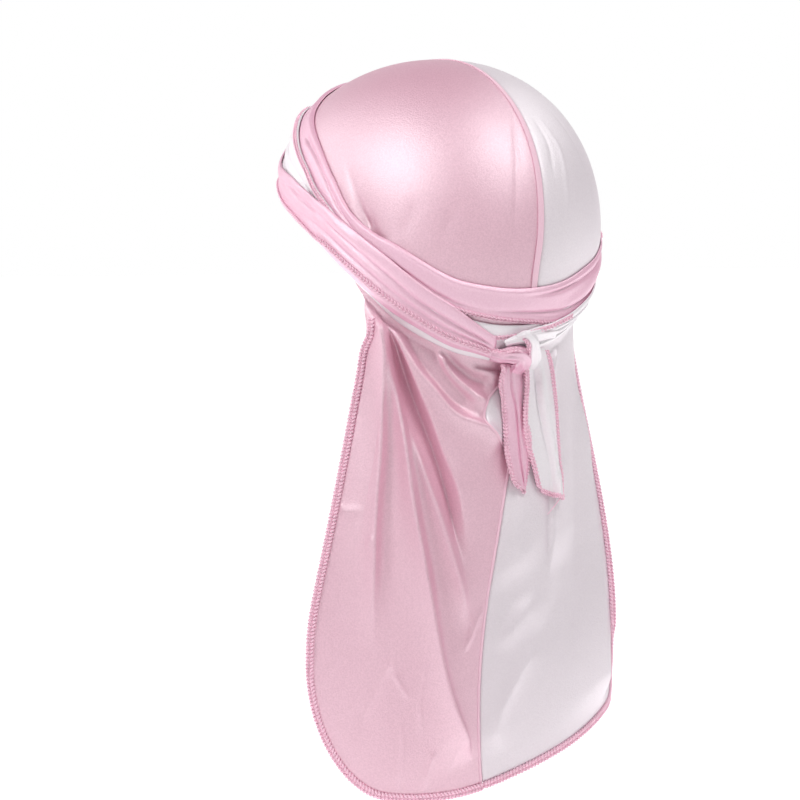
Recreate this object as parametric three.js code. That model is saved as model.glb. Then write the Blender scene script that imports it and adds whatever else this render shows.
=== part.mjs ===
// A durag of two satin halves as it sits when tied: a crown with a long tail,
// two straps wrapped round the head, a knot at the back and its two loose ends.
// +Z is up, the wearer looks along -Y and the wearer's left is +X.
// Lengths are in millimetres and angles in degrees.
import * as THREE from 'three';

// Head form that the crown is stretched over, measured from the head's centre
const HEAD_HALF_WIDTH = 75;
const HEAD_HALF_LENGTH = 95;
const HEAD_TOP_HEIGHT = 89.5;
const HEAD_LOWER_HEIGHT = 110;
const PLAN_ROUNDNESS = 2.1;
const TOP_ROUNDNESS = 2.15;
const LOWER_ROUNDNESS = 2;
const BACK_WIDENING = 0.05;
const FOREHEAD_BULGE = 0.07;
const FOREHEAD_LEVEL = 34.4;
const FOREHEAD_TURN_REACH = 51.6;
const FOREHEAD_LEVEL_REACH = 22.9;

// Cloth
const CLOTH_WALL = 1;
const GAP = 0.3;
const PLEAT_DEPTH = 0.6;
const SEAM_WIDTH = 3.2;
const SEAM_WALL = 0.8;
const HEM_WIDTH = 3.6;
const HEM_WALL = 2;
const HEM_GAP = 0.5;
const HEM_END = 0.02;

// Tail, measured from the head's centre
const TAIL_SIDE_REACH = 100;
const TAIL_BACK_REACH = 90;
const TAIL_DROP = 284;
const TAIL_FLARE = 1.1;
const SEAM_DRIFT = 0.11;
const SEAM_SWING = 140;
const FOLD_HEIGHT = 6;
const FOLD_WIDTH = 8;
const FOLD_ACROSS = 105;
const FOLD_ALONG = 225;
const FOLD_FADE = 0.6;
const FOLD_START = 0.02;
const FOLD_FULL = 0.2;
const LEFT_CORNER_RISE = 58;
const LEFT_CORNER_SHARE = 0.42;
const RIGHT_CORNER_RISE = 24;
const RIGHT_CORNER_SHARE = 0.2;

// Knot and loose ends
const KNOT_TURN = 172;
const KNOT_LEVEL = -37;
const KNOT_HALF_WIDTH = 10.5;
const KNOT_HALF_HEIGHT = 8;
const KNOT_DEPTH = 12;
const KNOT_CREASES = 3;
const KNOT_CREASE = 0.13;
const END_CLEARANCE = 2.2;
const END_ROOT_WIDTH = 6;
const END_ROOT_ASIDE = 3.5;
const END_HOLD = 0.35;

// Numbers of points: columns of the crown in half a turn, and how many of them the tail hangs from
// at each side of the seam
const CROWN_COLUMNS = 24;
const TAIL_TOP_COLUMNS = 9;
const CROWN_ROWS = 12;
const TAIL_COLUMNS = 18;
const TAIL_ROWS = 22;
const STRAP_COLUMNS = 6;
const CROWN_SEAM_STEPS = 44;
const END_COLUMNS = 4;
const END_ROWS = 14;
const KNOT_RINGS = 9;
const KNOT_SECTORS = 18;

const HALF_TURN = 180;
const QUARTER_TURN = 90;
const FULL_TURN = 360;
const TURN_STEP = HALF_TURN / CROWN_COLUMNS;
const TAIL_HALF_TURN = TAIL_TOP_COLUMNS * TURN_STEP;
const CROWN_SEAM_LOWEST = -24;
const SAME_PLACE = 1e-6;
const JUST_INSIDE = 0.999;
const LAYER_PITCH = CLOTH_WALL + PLEAT_DEPTH + GAP;
const KNOT_BASE = CLOTH_WALL + GAP + LAYER_PITCH;

// Lower edge of the crown: level of the edge at each turn from the front, by way of the left
const RIM = [
  { turn: 0, level: 20 },
  { turn: 22, level: 18 },
  { turn: 40, level: 17.5 },
  { turn: 58, level: 11 },
  { turn: 77, level: 4 },
  { turn: 92, level: -3 },
  { turn: 105, level: -13 },
  { turn: 112.5, level: -23 },
  { turn: 127.5, level: -34 },
  { turn: 146, level: -41 },
  { turn: 165, level: -44.5 },
  { turn: 180, level: -43 },
  { turn: 193, level: -38 },
  { turn: 204, level: -31 },
  { turn: 225, level: -20 },
  { turn: 247.5, level: -11 },
  { turn: 268, level: -2 },
  { turn: 302, level: 10 },
  { turn: 320, level: 17.5 },
  { turn: 338, level: 18 },
  { turn: 360, level: 20 },
];

// Left strap: its two edges at each turn, from its root over the left temple, round the back,
// over the forehead and down the left side to the knot
const LEFT_STRAP = [
  { turn: 3, upper: 57, lower: 42 },
  { turn: 20, upper: 55.5, lower: 41 },
  { turn: 40, upper: 50.5, lower: 36 },
  { turn: 52, upper: 45.5, lower: 29 },
  { turn: 80, upper: 33.3, lower: 19 },
  { turn: 97, upper: 19.7, lower: 5 },
  { turn: 108, upper: 7.2, lower: -2 },
  { turn: 119, upper: -0.7, lower: -8.4 },
  { turn: 128, upper: -5, lower: -14.3 },
  { turn: 146, upper: -14.6, lower: -24.2 },
  { turn: 156, upper: -16.9, lower: -26.6 },
  { turn: 169, upper: -17.8, lower: -28 },
  { turn: 184, upper: -16.2, lower: -28.5 },
  { turn: 198, upper: -9.8, lower: -25 },
  { turn: 215, upper: 1, lower: -15 },
  { turn: 247, upper: 13, lower: 0 },
  { turn: 270, upper: 19, lower: 8 },
  { turn: 302, upper: 28.5, lower: 17.5 },
  { turn: 320, upper: 33, lower: 22 },
  { turn: 340, upper: 36.5, lower: 24.5 },
  { turn: 360, upper: 36, lower: 23.5 },
  { turn: 380, upper: 30.5, lower: 19 },
  { turn: 400, upper: 23.5, lower: 15.5 },
  { turn: 418, upper: 21, lower: 9.3 },
  { turn: 429, upper: 18.8, lower: 5 },
  { turn: 455, upper: 9.4, lower: -7.5 },
  { turn: 466, upper: 3, lower: -14.5 },
  { turn: 484, upper: -8.4, lower: -26.3 },
  { turn: 497, upper: -17.7, lower: -32.3 },
  { turn: 507, upper: -23.3, lower: -36.2 },
  { turn: 517, upper: -29.5, lower: -38 },
  { turn: 523.5, upper: -33, lower: -39.5 },
];
const LEFT_STRAP_LAYERS = [
  { turn: 0, layer: 1 },
  { turn: 145, layer: 1 },
  { turn: 165, layer: 2 },
  { turn: 300, layer: 2 },
  { turn: 322, layer: 3 },
  { turn: 540, layer: 3 },
];

// Right strap: the same the other way round, with turns counted by way of the right
const RIGHT_STRAP = [
  { turn: 3, upper: 57, lower: 42 },
  { turn: 20, upper: 55.5, lower: 41 },
  { turn: 40, upper: 50.5, lower: 36 },
  { turn: 80, upper: 33, lower: 20 },
  { turn: 97, upper: 20, lower: 7 },
  { turn: 120, upper: 0, lower: -12 },
  { turn: 135, upper: -8, lower: -19 },
  { turn: 150, upper: -14, lower: -26 },
  { turn: 165, upper: -22, lower: -34 },
  { turn: 180, upper: -28, lower: -39.5 },
  { turn: 193, upper: -29.2, lower: -41 },
  { turn: 204, upper: -28.3, lower: -40 },
  { turn: 213, upper: -25.8, lower: -38.5 },
  { turn: 232, upper: -16, lower: -31.5 },
  { turn: 243, upper: -8.2, lower: -23.7 },
  { turn: 254, upper: 1.5, lower: -15.6 },
  { turn: 262, upper: 8.6, lower: -8 },
  { turn: 272, upper: 15.5, lower: 0 },
  { turn: 282, upper: 21.6, lower: 8 },
  { turn: 308, upper: 29.6, lower: 18 },
  { turn: 322, upper: 33, lower: 21 },
  { turn: 340, upper: 36.5, lower: 24 },
  { turn: 360, upper: 36, lower: 23.5 },
  { turn: 380, upper: 29, lower: 19 },
  { turn: 400, upper: 21, lower: 15 },
  { turn: 418, upper: 16, lower: 7 },
  { turn: 450, upper: 10, lower: -1 },
  { turn: 473, upper: 4, lower: -7 },
  { turn: 489, upper: -3, lower: -13 },
  { turn: 505, upper: -11, lower: -19.5 },
  { turn: 517, upper: -18.6, lower: -26.6 },
  { turn: 528, upper: -25.9, lower: -33.8 },
  { turn: 537, upper: -32.5, lower: -37.8 },
];
const RIGHT_STRAP_LAYERS = [
  { turn: 0, layer: 1 },
  { turn: 200, layer: 1 },
  { turn: 245, layer: 2 },
  { turn: 400, layer: 2 },
  { turn: 420, layer: 3 },
  { turn: 540, layer: 3 },
];

// Lower edge of the tail: place across it, then shares of the side reach, back reach and drop
const TAIL_END = [
  { across: -1, side: 1, back: 0.29, drop: 0.982 },
  { across: -0.6, side: 0.78, back: 0.67, drop: 1.002 },
  { across: -0.3, side: 0.54, back: 0.84, drop: 1.002 },
  { across: 0, side: 0.25, back: 0.9, drop: 0.984 },
  { across: 0.35, side: -0.14, back: 1, drop: 0.93 },
  { across: 0.7, side: -0.5, back: 0.89, drop: 0.88 },
  { across: 1, side: -0.8, back: 0.58, drop: 0.85 },
];

// Folds of the tail: rise as a share of the fold height, reach as a share of the fold width,
// and the line of the crest as places across and down the tail
const FOLDS = [
  { rise: 0.9, reach: 0.9, line: [[-0.81, 0.05], [-0.78, 0.28], [-0.74, 0.46], [-0.68, 0.72]] },
  { rise: -0.5, reach: 0.9, line: [[-0.72, 0.16], [-0.66, 0.4], [-0.58, 0.62], [-0.5, 0.9]] },
  { rise: 1, reach: 0.9, line: [[-0.79, 0.1], [-0.68, 0.24], [-0.59, 0.34], [-0.45, 0.5],
    [-0.34, 0.68], [-0.21, 0.84], [-0.08, 0.96]] },
  { rise: -0.7, reach: 0.9, line: [[-0.62, 0.22], [-0.48, 0.34], [-0.34, 0.5], [-0.24, 0.68], [-0.12, 0.84]] },
  { rise: 0.9, reach: 1.1, line: [[-0.77, 0.06], [-0.64, 0.14], [-0.55, 0.19], [-0.45, 0.26],
    [-0.32, 0.4], [-0.26, 0.49], [-0.18, 0.64]] },
  { rise: -0.5, reach: 0.8, line: [[-0.6, 0.14], [-0.46, 0.2], [-0.3, 0.28], [-0.17, 0.4]] },
  { rise: 0.8, reach: 0.8, line: [[-0.69, 0.07], [-0.58, 0.12], [-0.43, 0.15], [-0.22, 0.2], [-0.06, 0.27]] },
  { rise: 0.5, reach: 0.7, line: [[-0.53, 0.05], [-0.47, 0.08], [-0.37, 0.1], [-0.25, 0.14]] },
  { rise: 0.6, reach: 0.8, line: [[0.12, 0.3], [0.16, 0.6], [0.17, 0.85]] },
  { rise: 0.5, reach: 1, line: [[0.22, 0.1], [0.34, 0.4], [0.4, 0.7]] },
  { rise: 1, reach: 1, line: [[0.4, 0.36], [0.56, 0.62], [0.64, 0.85], [0.62, 1]] },
  { rise: -1, reach: 1.1, line: [[0.62, 0.4], [0.78, 0.7], [0.82, 1]] },
];

// Loose ends: line down the tail with the half width as a share of the tail's half turn
// and the height as a share of the fold height
const LEFT_END = [
  { share: 0, across: -0.16, down: 0.035, half: 0.03, height: 0.5 },
  { share: 0.3, across: -0.15, down: 0.12, half: 0.06, height: 0.9 },
  { share: 0.65, across: -0.08, down: 0.22, half: 0.065, height: 0.3 },
  { share: 1, across: -0.04, down: 0.335, half: 0.05, height: 0.1 },
];
const RIGHT_END = [
  { share: 0, across: 0.01, down: 0.02, half: 0.035, height: 1.1 },
  { share: 0.25, across: 0.12, down: 0.09, half: 0.07, height: 1.5 },
  { share: 0.6, across: 0.17, down: 0.22, half: 0.075, height: 0.9 },
  { share: 1, across: 0.19, down: 0.36, half: 0.05, height: 0.2 },
];

const MATERIALS = {
  pinkSatin: { color: 0xe9bcd3, roughness: 0.42, metalness: 0 },
  strapSatin: { color: 0xf2afcb, roughness: 0.4, metalness: 0 },
  whiteSatin: { color: 0xe4e0e8, roughness: 0.42, metalness: 0 },
  pinkThread: { color: 0xee9dbf, roughness: 0.75, metalness: 0 },
};

const sin = (angle) => Math.sin(THREE.MathUtils.degToRad(angle));
const cos = (angle) => Math.cos(THREE.MathUtils.degToRad(angle));
const vector = (x, y, z) => new THREE.Vector3(x, y, z);
const mix = THREE.MathUtils.lerp;

// Slope of a table's column at a row, over its neighbours
function slopeAt(rows, at, by, column) {
  const before = rows[Math.max(at - 1, 0)];
  const after = rows[Math.min(at + 1, rows.length - 1)];
  return (after[column] - before[column]) / (after[by] - before[by]);
}

// Value of a column on the smooth curve through the rows of a table
function follow(rows, by, column, x) {
  const last = rows.length - 1;
  const place = THREE.MathUtils.clamp(x, rows[0][by], rows[last][by]);
  let at = 0;
  while (at < last - 1 && rows[at + 1][by] < place) at += 1;
  const span = rows[at + 1][by] - rows[at][by];
  const u = (place - rows[at][by]) / span;
  const start = rows[at][column];
  const end = rows[at + 1][column];
  const leave = slopeAt(rows, at, by, column) * span;
  const arrive = slopeAt(rows, at + 1, by, column) * span;
  const ease = u * u * (3 - 2 * u);
  return mix(start, end, ease) + u * (1 - u) * ((1 - u) * leave - u * arrive);
}

// Value of a column on straight lines between the rows of a table
function between(rows, by, column, x) {
  let at = 0;
  while (at < rows.length - 2 && rows[at + 1][by] < x) at += 1;
  const share = (x - rows[at][by]) / (rows[at + 1][by] - rows[at][by]);
  return mix(rows[at][column], rows[at + 1][column], THREE.MathUtils.clamp(share, 0, 1));
}

// Distance from the head's centre to the head form in one direction
function headRadius(turn, level) {
  const x = sin(turn) * cos(level);
  const y = -cos(turn) * cos(level);
  const z = sin(level);
  const halfWidth = HEAD_HALF_WIDTH * (1 + BACK_WIDENING * y);
  const plan = (Math.abs(x) / halfWidth) ** PLAN_ROUNDNESS
    + (Math.abs(y) / HEAD_HALF_LENGTH) ** PLAN_ROUNDNESS;
  const height = z > 0 ? HEAD_TOP_HEIGHT : HEAD_LOWER_HEIGHT;
  const power = z > 0 ? TOP_ROUNDNESS : LOWER_ROUNDNESS;
  const size = (plan ** (power / PLAN_ROUNDNESS) + (Math.abs(z) / height) ** power) ** (1 / power);
  const aside = Math.min(turn, FULL_TURN - turn) / FOREHEAD_TURN_REACH;
  const above = (level - FOREHEAD_LEVEL) / FOREHEAD_LEVEL_REACH;
  return (1 + FOREHEAD_BULGE * Math.exp(-(aside ** 2) - above ** 2)) / size;
}

// Point over the head form at a turn from the front and a level from the centre
function onHead(turn, level, height) {
  const wrapped = ((turn % FULL_TURN) + FULL_TURN) % FULL_TURN;
  const reach = headRadius(wrapped, level) + height;
  return vector(sin(turn) * cos(level), -cos(turn) * cos(level), sin(level)).multiplyScalar(reach);
}

const rimLevel = (turn) => follow(RIM, 'turn', 'level', turn);

// Distance from a place on the tail to a fold's crest line, and how far along it that is
function nearestOnLine(line, across, down) {
  let best = { distance: Infinity, share: 0 };
  for (let i = 0; i < line.length - 1; i += 1) {
    const startX = line[i][0] * FOLD_ACROSS;
    const startY = line[i][1] * FOLD_ALONG;
    const stepX = line[i + 1][0] * FOLD_ACROSS - startX;
    const stepY = line[i + 1][1] * FOLD_ALONG - startY;
    const offX = across * FOLD_ACROSS - startX;
    const offY = down * FOLD_ALONG - startY;
    const dot = (offX * stepX + offY * stepY) / (stepX * stepX + stepY * stepY);
    const share = THREE.MathUtils.clamp(dot, 0, 1);
    const distance = Math.hypot(offX - share * stepX, offY - share * stepY);
    if (distance < best.distance) best = { distance, share: (i + share) / (line.length - 1) };
  }
  return best;
}

// Height of the folds over the smooth tail
function foldRise(across, down) {
  let rise = 0;
  for (const fold of FOLDS) {
    const near = nearestOnLine(fold.line, across, down);
    const profile = Math.exp(-((near.distance / (fold.reach * FOLD_WIDTH)) ** 2));
    const fade = 1 - FOLD_FADE * near.share ** 4;
    rise += fold.rise * FOLD_HEIGHT * profile * fade;
  }
  return rise * THREE.MathUtils.smoothstep(down, FOLD_START, FOLD_FULL);
}

// Middle of the tail's cloth without its folds; across is -1 at the left edge and 1 at the right,
// down is 0 at the crown and 1 at the lower edge
function smoothTail(across, down) {
  const left = across < 0;
  const share = left ? LEFT_CORNER_SHARE : RIGHT_CORNER_SHARE;
  const rise = left ? LEFT_CORNER_RISE : RIGHT_CORNER_RISE;
  const corner = Math.max(0, (Math.abs(across) - 1 + share) / share) * QUARTER_TURN;
  const rounded = 1 - share + share * sin(corner);
  const bent = corner > 0 ? mix(Math.abs(across), rounded, down) : Math.abs(across);
  const drift = SEAM_DRIFT * sin(SEAM_SWING * down) * (1 - across * across) ** 2;
  const place = Math.sign(across) * bent - drift;
  const turn = HALF_TURN + TAIL_HALF_TURN * across;
  const top = onHead(turn, rimLevel(turn), CLOTH_WALL / 2);
  const side = follow(TAIL_END, 'across', 'side', place) * TAIL_SIDE_REACH;
  const back = follow(TAIL_END, 'across', 'back', place) * TAIL_BACK_REACH;
  const drop = follow(TAIL_END, 'across', 'drop', place) * TAIL_DROP;
  const lift = rise * (1 - cos(corner));
  const flare = sin(QUARTER_TURN * Math.min(down, 1)) ** TAIL_FLARE;
  return vector(
    mix(top.x, side, flare),
    mix(top.y, back, flare),
    mix(top.z, -drop + lift, down),
  );
}

// Outward direction of a surface given by a function of two places
function outward(surface, across, down) {
  const step = 0.004;
  const right = surface(across + step, down).sub(surface(across - step, down));
  const low = surface(across, Math.max(down - step, 0));
  const under = surface(across, down + step).sub(low);
  return right.cross(under).negate().normalize();
}

// Middle of the tail's cloth with its folds
function foldedTail(across, down) {
  const rise = foldRise(across, down);
  return smoothTail(across, down).addScaledVector(outward(smoothTail, across, down), rise);
}

// Point over the middle of the tail's cloth
function onTail(across, down, height) {
  return foldedTail(across, down).addScaledVector(outward(foldedTail, across, down), height);
}

function geometryFrom(points, index) {
  const geometry = new THREE.BufferGeometry().setFromPoints(points);
  geometry.setIndex(index);
  geometry.computeVertexNormals();
  return geometry;
}

// Closed body between two copies of a net of points, walled round its free edges
function shell({ inner, outer, faces }) {
  const count = inner.length;
  const index = [];
  const edges = new Map();
  for (const [a, b, c] of faces) {
    index.push(count + a, count + b, count + c, a, c, b);
    for (const edge of [[a, b], [b, c], [c, a]]) edges.set(edge.join(' '), edge);
  }
  for (const [from, to] of edges.values()) {
    if (!edges.has(`${to} ${from}`)) {
      index.push(from, to, count + to, from, count + to, count + from);
    }
  }
  return geometryFrom([...inner, ...outer], index);
}

// Closed body through rings of points, each ring going round the same way
function tube(rings) {
  const size = rings[0].length;
  const points = rings.flat();
  const index = [];
  for (let ring = 0; ring < rings.length - 1; ring += 1) {
    for (let i = 0; i < size; i += 1) {
      const a = ring * size + i;
      const b = ring * size + ((i + 1) % size);
      index.push(a, b, b + size, a, b + size, a + size);
    }
  }
  const last = (rings.length - 1) * size;
  for (let i = 1; i < size - 1; i += 1) {
    index.push(0, i + 1, i, last, last + i, last + i + 1);
  }
  return geometryFrom(points, index);
}

// One half of the cloth: a net over the head from the top down, then down the tail
function panelGeometry(side) {
  const shift = vector((side * GAP) / 2, 0, 0);
  const firstTurn = side > 0 ? 0 : HALF_TURN;
  const inner = [];
  const outer = [];
  const faces = [];
  const put = (low, high) => {
    inner.push(low.add(shift));
    outer.push(high.add(shift));
    return inner.length - 1;
  };
  const onCrown = (turn, level) => put(onHead(turn, level, 0), onHead(turn, level, CLOTH_WALL));
  const top = onCrown(HALF_TURN, QUARTER_TURN);
  const turns = Array.from({ length: CROWN_COLUMNS + 1 }, (_, i) => firstTurn + i * TURN_STEP);
  const crown = turns.map((turn) => {
    const column = [top];
    for (let row = 1; row <= CROWN_ROWS; row += 1) {
      column.push(onCrown(turn, mix(QUARTER_TURN, rimLevel(turn), row / CROWN_ROWS)));
    }
    return column;
  });

  const tail = [];
  for (let i = 0; i <= TAIL_COLUMNS; i += 1) {
    const across = i / TAIL_COLUMNS - (side > 0 ? 1 : 0);
    const turn = HALF_TURN + TAIL_HALF_TURN * across;
    const at = turns.findIndex((known) => Math.abs(known - turn) < SAME_PLACE);
    const column = [at < 0 ? onCrown(turn, rimLevel(turn)) : crown[at][CROWN_ROWS]];
    for (let row = 1; row <= TAIL_ROWS; row += 1) {
      const down = row / TAIL_ROWS;
      const half = CLOTH_WALL / 2;
      column.push(put(onTail(across, down, -half), onTail(across, down, half)));
    }
    tail.push(column);
  }

  for (let i = 0; i < CROWN_COLUMNS; i += 1) {
    const left = crown[i];
    const right = crown[i + 1];
    const split = tail.find((column, k) => k > 0 && tail[k - 1][0] === left[CROWN_ROWS]);
    faces.push([top, left[1], right[1]]);
    for (let row = 1; row < CROWN_ROWS; row += 1) {
      if (row === CROWN_ROWS - 1 && split && split[0] !== right[CROWN_ROWS]) {
        faces.push([left[row], left[row + 1], split[0]]);
        faces.push([left[row], split[0], right[row]]);
        faces.push([right[row], split[0], right[row + 1]]);
      } else {
        faces.push([left[row], left[row + 1], right[row + 1]]);
        faces.push([left[row], right[row + 1], right[row]]);
      }
    }
  }
  for (let i = 0; i < TAIL_COLUMNS; i += 1) {
    for (let row = 0; row < TAIL_ROWS; row += 1) {
      faces.push([tail[i][row], tail[i][row + 1], tail[i + 1][row + 1]]);
      faces.push([tail[i][row], tail[i + 1][row + 1], tail[i + 1][row]]);
    }
  }
  return shell({ inner, outer, faces });
}

// Turns at which a strap gets a row of points
function strapTurns(rows) {
  const first = rows[0].turn;
  const last = rows[rows.length - 1].turn;
  const turns = [first];
  for (let turn = Math.ceil(first / TURN_STEP) * TURN_STEP; turn < last; turn += TURN_STEP) {
    if (turn - first > TURN_STEP / 3 && last - turn > TURN_STEP / 3) turns.push(turn);
  }
  return [...turns, last];
}

// A strap laid over the head in pleats, from its root to the knot
function strapGeometry(rows, layers, side) {
  const inner = [];
  const outer = [];
  const faces = [];
  const turns = strapTurns(rows);
  for (const turn of turns) {
    const base = CLOTH_WALL + GAP + (between(layers, 'turn', 'layer', turn) - 1) * LAYER_PITCH;
    for (let i = 0; i <= STRAP_COLUMNS; i += 1) {
      const upper = follow(rows, 'turn', 'upper', turn);
      const lower = follow(rows, 'turn', 'lower', turn);
      const level = mix(upper, lower, i / STRAP_COLUMNS);
      const height = base + (i % 2) * PLEAT_DEPTH;
      inner.push(onHead(side * turn, level, height));
      outer.push(onHead(side * turn, level, height + CLOTH_WALL));
    }
  }
  const width = STRAP_COLUMNS + 1;
  for (let row = 0; row < turns.length - 1; row += 1) {
    for (let i = 0; i < STRAP_COLUMNS; i += 1) {
      const a = row * width + i;
      const b = a + width;
      const cell = [[a, a + 1, b + 1], [a, b + 1, b]];
      faces.push(...(side > 0 ? cell : cell.map(([p, q, r]) => [p, r, q])));
    }
  }
  return shell({ inner, outer, faces });
}

// Flat bar laid along a line of frames, each with a middle, a sideways and an outward direction
function barGeometry(frames, width, wall) {
  return tube(frames.map(({ middle, aside, out }) => [[-1, -1], [-1, 1], [1, 1], [1, -1]].map(
    ([x, y]) => middle.clone()
      .addScaledVector(aside, (x * width) / 2)
      .addScaledVector(out, (y * wall) / 2),
  )));
}

// Raised seam over the middle of the crown, from the front edge to the straps at the back
function crownSeamGeometry() {
  const lowest = rimLevel(0) + 1;
  const highest = HALF_TURN - CROWN_SEAM_LOWEST;
  const frames = Array.from({ length: CROWN_SEAM_STEPS + 1 }, (_, i) => {
    const arc = mix(lowest, highest, i / CROWN_SEAM_STEPS);
    const turn = arc > QUARTER_TURN ? HALF_TURN : 0;
    const level = arc > QUARTER_TURN ? HALF_TURN - arc : arc;
    const middle = onHead(turn, level, CLOTH_WALL + GAP + SEAM_WALL / 2);
    return { middle, aside: vector(1, 0, 0), out: middle.clone().normalize() };
  });
  return barGeometry(frames, SEAM_WIDTH, SEAM_WALL);
}

// Raised seam down the middle of the tail, lying on the cloth at both sides of it
function tailSeamGeometry() {
  const beside = (side, down, height) => {
    const middle = onTail(0, down, height);
    const next = onTail(side / TAIL_COLUMNS, down, height);
    return middle.lerp(next, SEAM_WIDTH / 2 / middle.distanceTo(next));
  };
  const low = CLOTH_WALL / 2 + GAP;
  const high = low + SEAM_WALL;
  const rings = [];
  for (let row = 1; row <= TAIL_ROWS; row += 1) {
    const down = row / TAIL_ROWS;
    rings.push([
      onTail(0, down, low),
      beside(1, down, low),
      beside(1, down, high),
      onTail(0, down, high),
      beside(-1, down, high),
      beside(-1, down, low),
    ]);
  }
  return tube(rings);
}

// Edging along the side and the lower edge of one half of the tail
function hemGeometry(side) {
  const places = [];
  for (let i = 1; i <= TAIL_ROWS; i += 1) places.push([-side, i / TAIL_ROWS]);
  for (let i = TAIL_COLUMNS - 1; i > 0; i -= 1) places.push([(-side * i) / TAIL_COLUMNS, 1]);
  places.push([-side * HEM_END, 1]);
  const edge = places.map(([across, down]) => onTail(across, down, 0));
  const shift = vector((side * GAP) / 2, 0, 0);
  const frames = places.map(([across, down], i) => {
    const before = edge[Math.max(i - 1, 0)];
    const after = edge[Math.min(i + 1, edge.length - 1)];
    const out = outward(foldedTail, across * JUST_INSIDE, down);
    const along = after.clone().sub(before).normalize();
    const aside = along.clone().cross(out).normalize();
    const offset = side * (HEM_GAP + HEM_WIDTH / 2);
    const middle = edge[i].clone().addScaledVector(aside, offset).add(shift);
    return { middle, aside, out };
  });
  return barGeometry(frames, HEM_WIDTH, HEM_WALL);
}

// Point over the head form at distances to the side of the knot's middle and above it
function byKnot(aside, above, height) {
  const reach = headRadius(KNOT_TURN, KNOT_LEVEL) + KNOT_BASE;
  const turn = THREE.MathUtils.radToDeg(aside / (reach * cos(KNOT_LEVEL)));
  const level = THREE.MathUtils.radToDeg(above / reach);
  return onHead(KNOT_TURN + turn, KNOT_LEVEL + level, KNOT_BASE + height);
}

// Knot: a rounded lump with creases across it, flat against the straps below
function knotGeometry() {
  const point = (polar, around) => {
    const crease = KNOT_CREASE * (1 + cos(KNOT_CREASES * (around - QUARTER_TURN))) / 2;
    const ring = sin(polar) * (1 - crease);
    return byKnot(
      KNOT_HALF_WIDTH * ring * cos(around),
      KNOT_HALF_HEIGHT * ring * sin(around),
      (KNOT_DEPTH * (1 - cos(polar))) / 2,
    );
  };
  const points = [point(0, 0)];
  for (let ring = 1; ring < KNOT_RINGS; ring += 1) {
    for (let i = 0; i < KNOT_SECTORS; i += 1) {
      points.push(point((HALF_TURN * ring) / KNOT_RINGS, (FULL_TURN * i) / KNOT_SECTORS));
    }
  }
  points.push(point(HALF_TURN, 0));
  const index = [];
  const at = (ring, i) => 1 + (ring - 1) * KNOT_SECTORS + (i % KNOT_SECTORS);
  for (let i = 0; i < KNOT_SECTORS; i += 1) {
    index.push(0, at(1, i + 1), at(1, i));
    index.push(points.length - 1, at(KNOT_RINGS - 1, i), at(KNOT_RINGS - 1, i + 1));
    for (let ring = 1; ring < KNOT_RINGS - 1; ring += 1) {
      index.push(at(ring, i), at(ring, i + 1), at(ring + 1, i + 1));
      index.push(at(ring, i), at(ring + 1, i + 1), at(ring + 1, i));
    }
  }
  return geometryFrom(points, index);
}

// Loose end of a strap, from under the knot down over the tail
function looseEndGeometry(rows, rootAside) {
  const inner = [];
  const outer = [];
  const faces = [];
  const layOver = (share, i, height) => {
    const across = follow(rows, 'share', 'across', share);
    const down = follow(rows, 'share', 'down', share);
    const half = follow(rows, 'share', 'half', share);
    const lift = follow(rows, 'share', 'height', share) * FOLD_HEIGHT + (i % 2) * PLEAT_DEPTH;
    const place = across + half * (2 * (i / END_COLUMNS) - 1);
    return onTail(place, down, END_CLEARANCE + lift + height);
  };
  const put = (list, share, i, height) => {
    const aside = rootAside + END_ROOT_WIDTH * (i / END_COLUMNS - 0.5);
    const root = byKnot(aside, -KNOT_HALF_HEIGHT - GAP, (KNOT_DEPTH - CLOTH_WALL) / 2 + height);
    const hold = 1 - THREE.MathUtils.smoothstep(share, 0, END_HOLD);
    const shift = root.sub(layOver(0, i, height));
    list.push(layOver(share, i, height).addScaledVector(shift, hold));
  };
  for (let row = 0; row <= END_ROWS; row += 1) {
    for (let i = 0; i <= END_COLUMNS; i += 1) {
      put(inner, row / END_ROWS, i, 0);
      put(outer, row / END_ROWS, i, CLOTH_WALL);
    }
  }
  for (let row = 0; row < END_ROWS; row += 1) {
    for (let i = 0; i < END_COLUMNS; i += 1) {
      const a = row * (END_COLUMNS + 1) + i;
      const b = a + END_COLUMNS + 1;
      faces.push([a, b, b + 1], [a, b + 1, a + 1]);
    }
  }
  return shell({ inner, outer, faces });
}

function piece(name, geometry, material) {
  const mesh = new THREE.Mesh(geometry, new THREE.MeshStandardMaterial(material));
  mesh.name = name;
  return mesh;
}

const durag = new THREE.Group();
durag.name = 'durag';
durag.add(
  piece('left_panel', panelGeometry(1), MATERIALS.pinkSatin),
  piece('right_panel', panelGeometry(-1), MATERIALS.whiteSatin),
  piece('crown_seam', crownSeamGeometry(), MATERIALS.pinkThread),
  piece('tail_seam', tailSeamGeometry(), MATERIALS.pinkThread),
  piece('left_strap', strapGeometry(LEFT_STRAP, LEFT_STRAP_LAYERS, 1), MATERIALS.strapSatin),
  piece('right_strap', strapGeometry(RIGHT_STRAP, RIGHT_STRAP_LAYERS, -1), MATERIALS.whiteSatin),
  piece('knot', knotGeometry(), MATERIALS.strapSatin),
  piece('left_tie_end', looseEndGeometry(LEFT_END, -END_ROOT_ASIDE), MATERIALS.strapSatin),
  piece('right_tie_end', looseEndGeometry(RIGHT_END, END_ROOT_ASIDE), MATERIALS.whiteSatin),
  piece('left_hem', hemGeometry(1), MATERIALS.pinkThread),
  piece('right_hem', hemGeometry(-1), MATERIALS.pinkThread),
);
durag.position.z = -HEAD_TOP_HEIGHT;

const part = new THREE.Group();
part.add(durag);
export default part;
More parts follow.
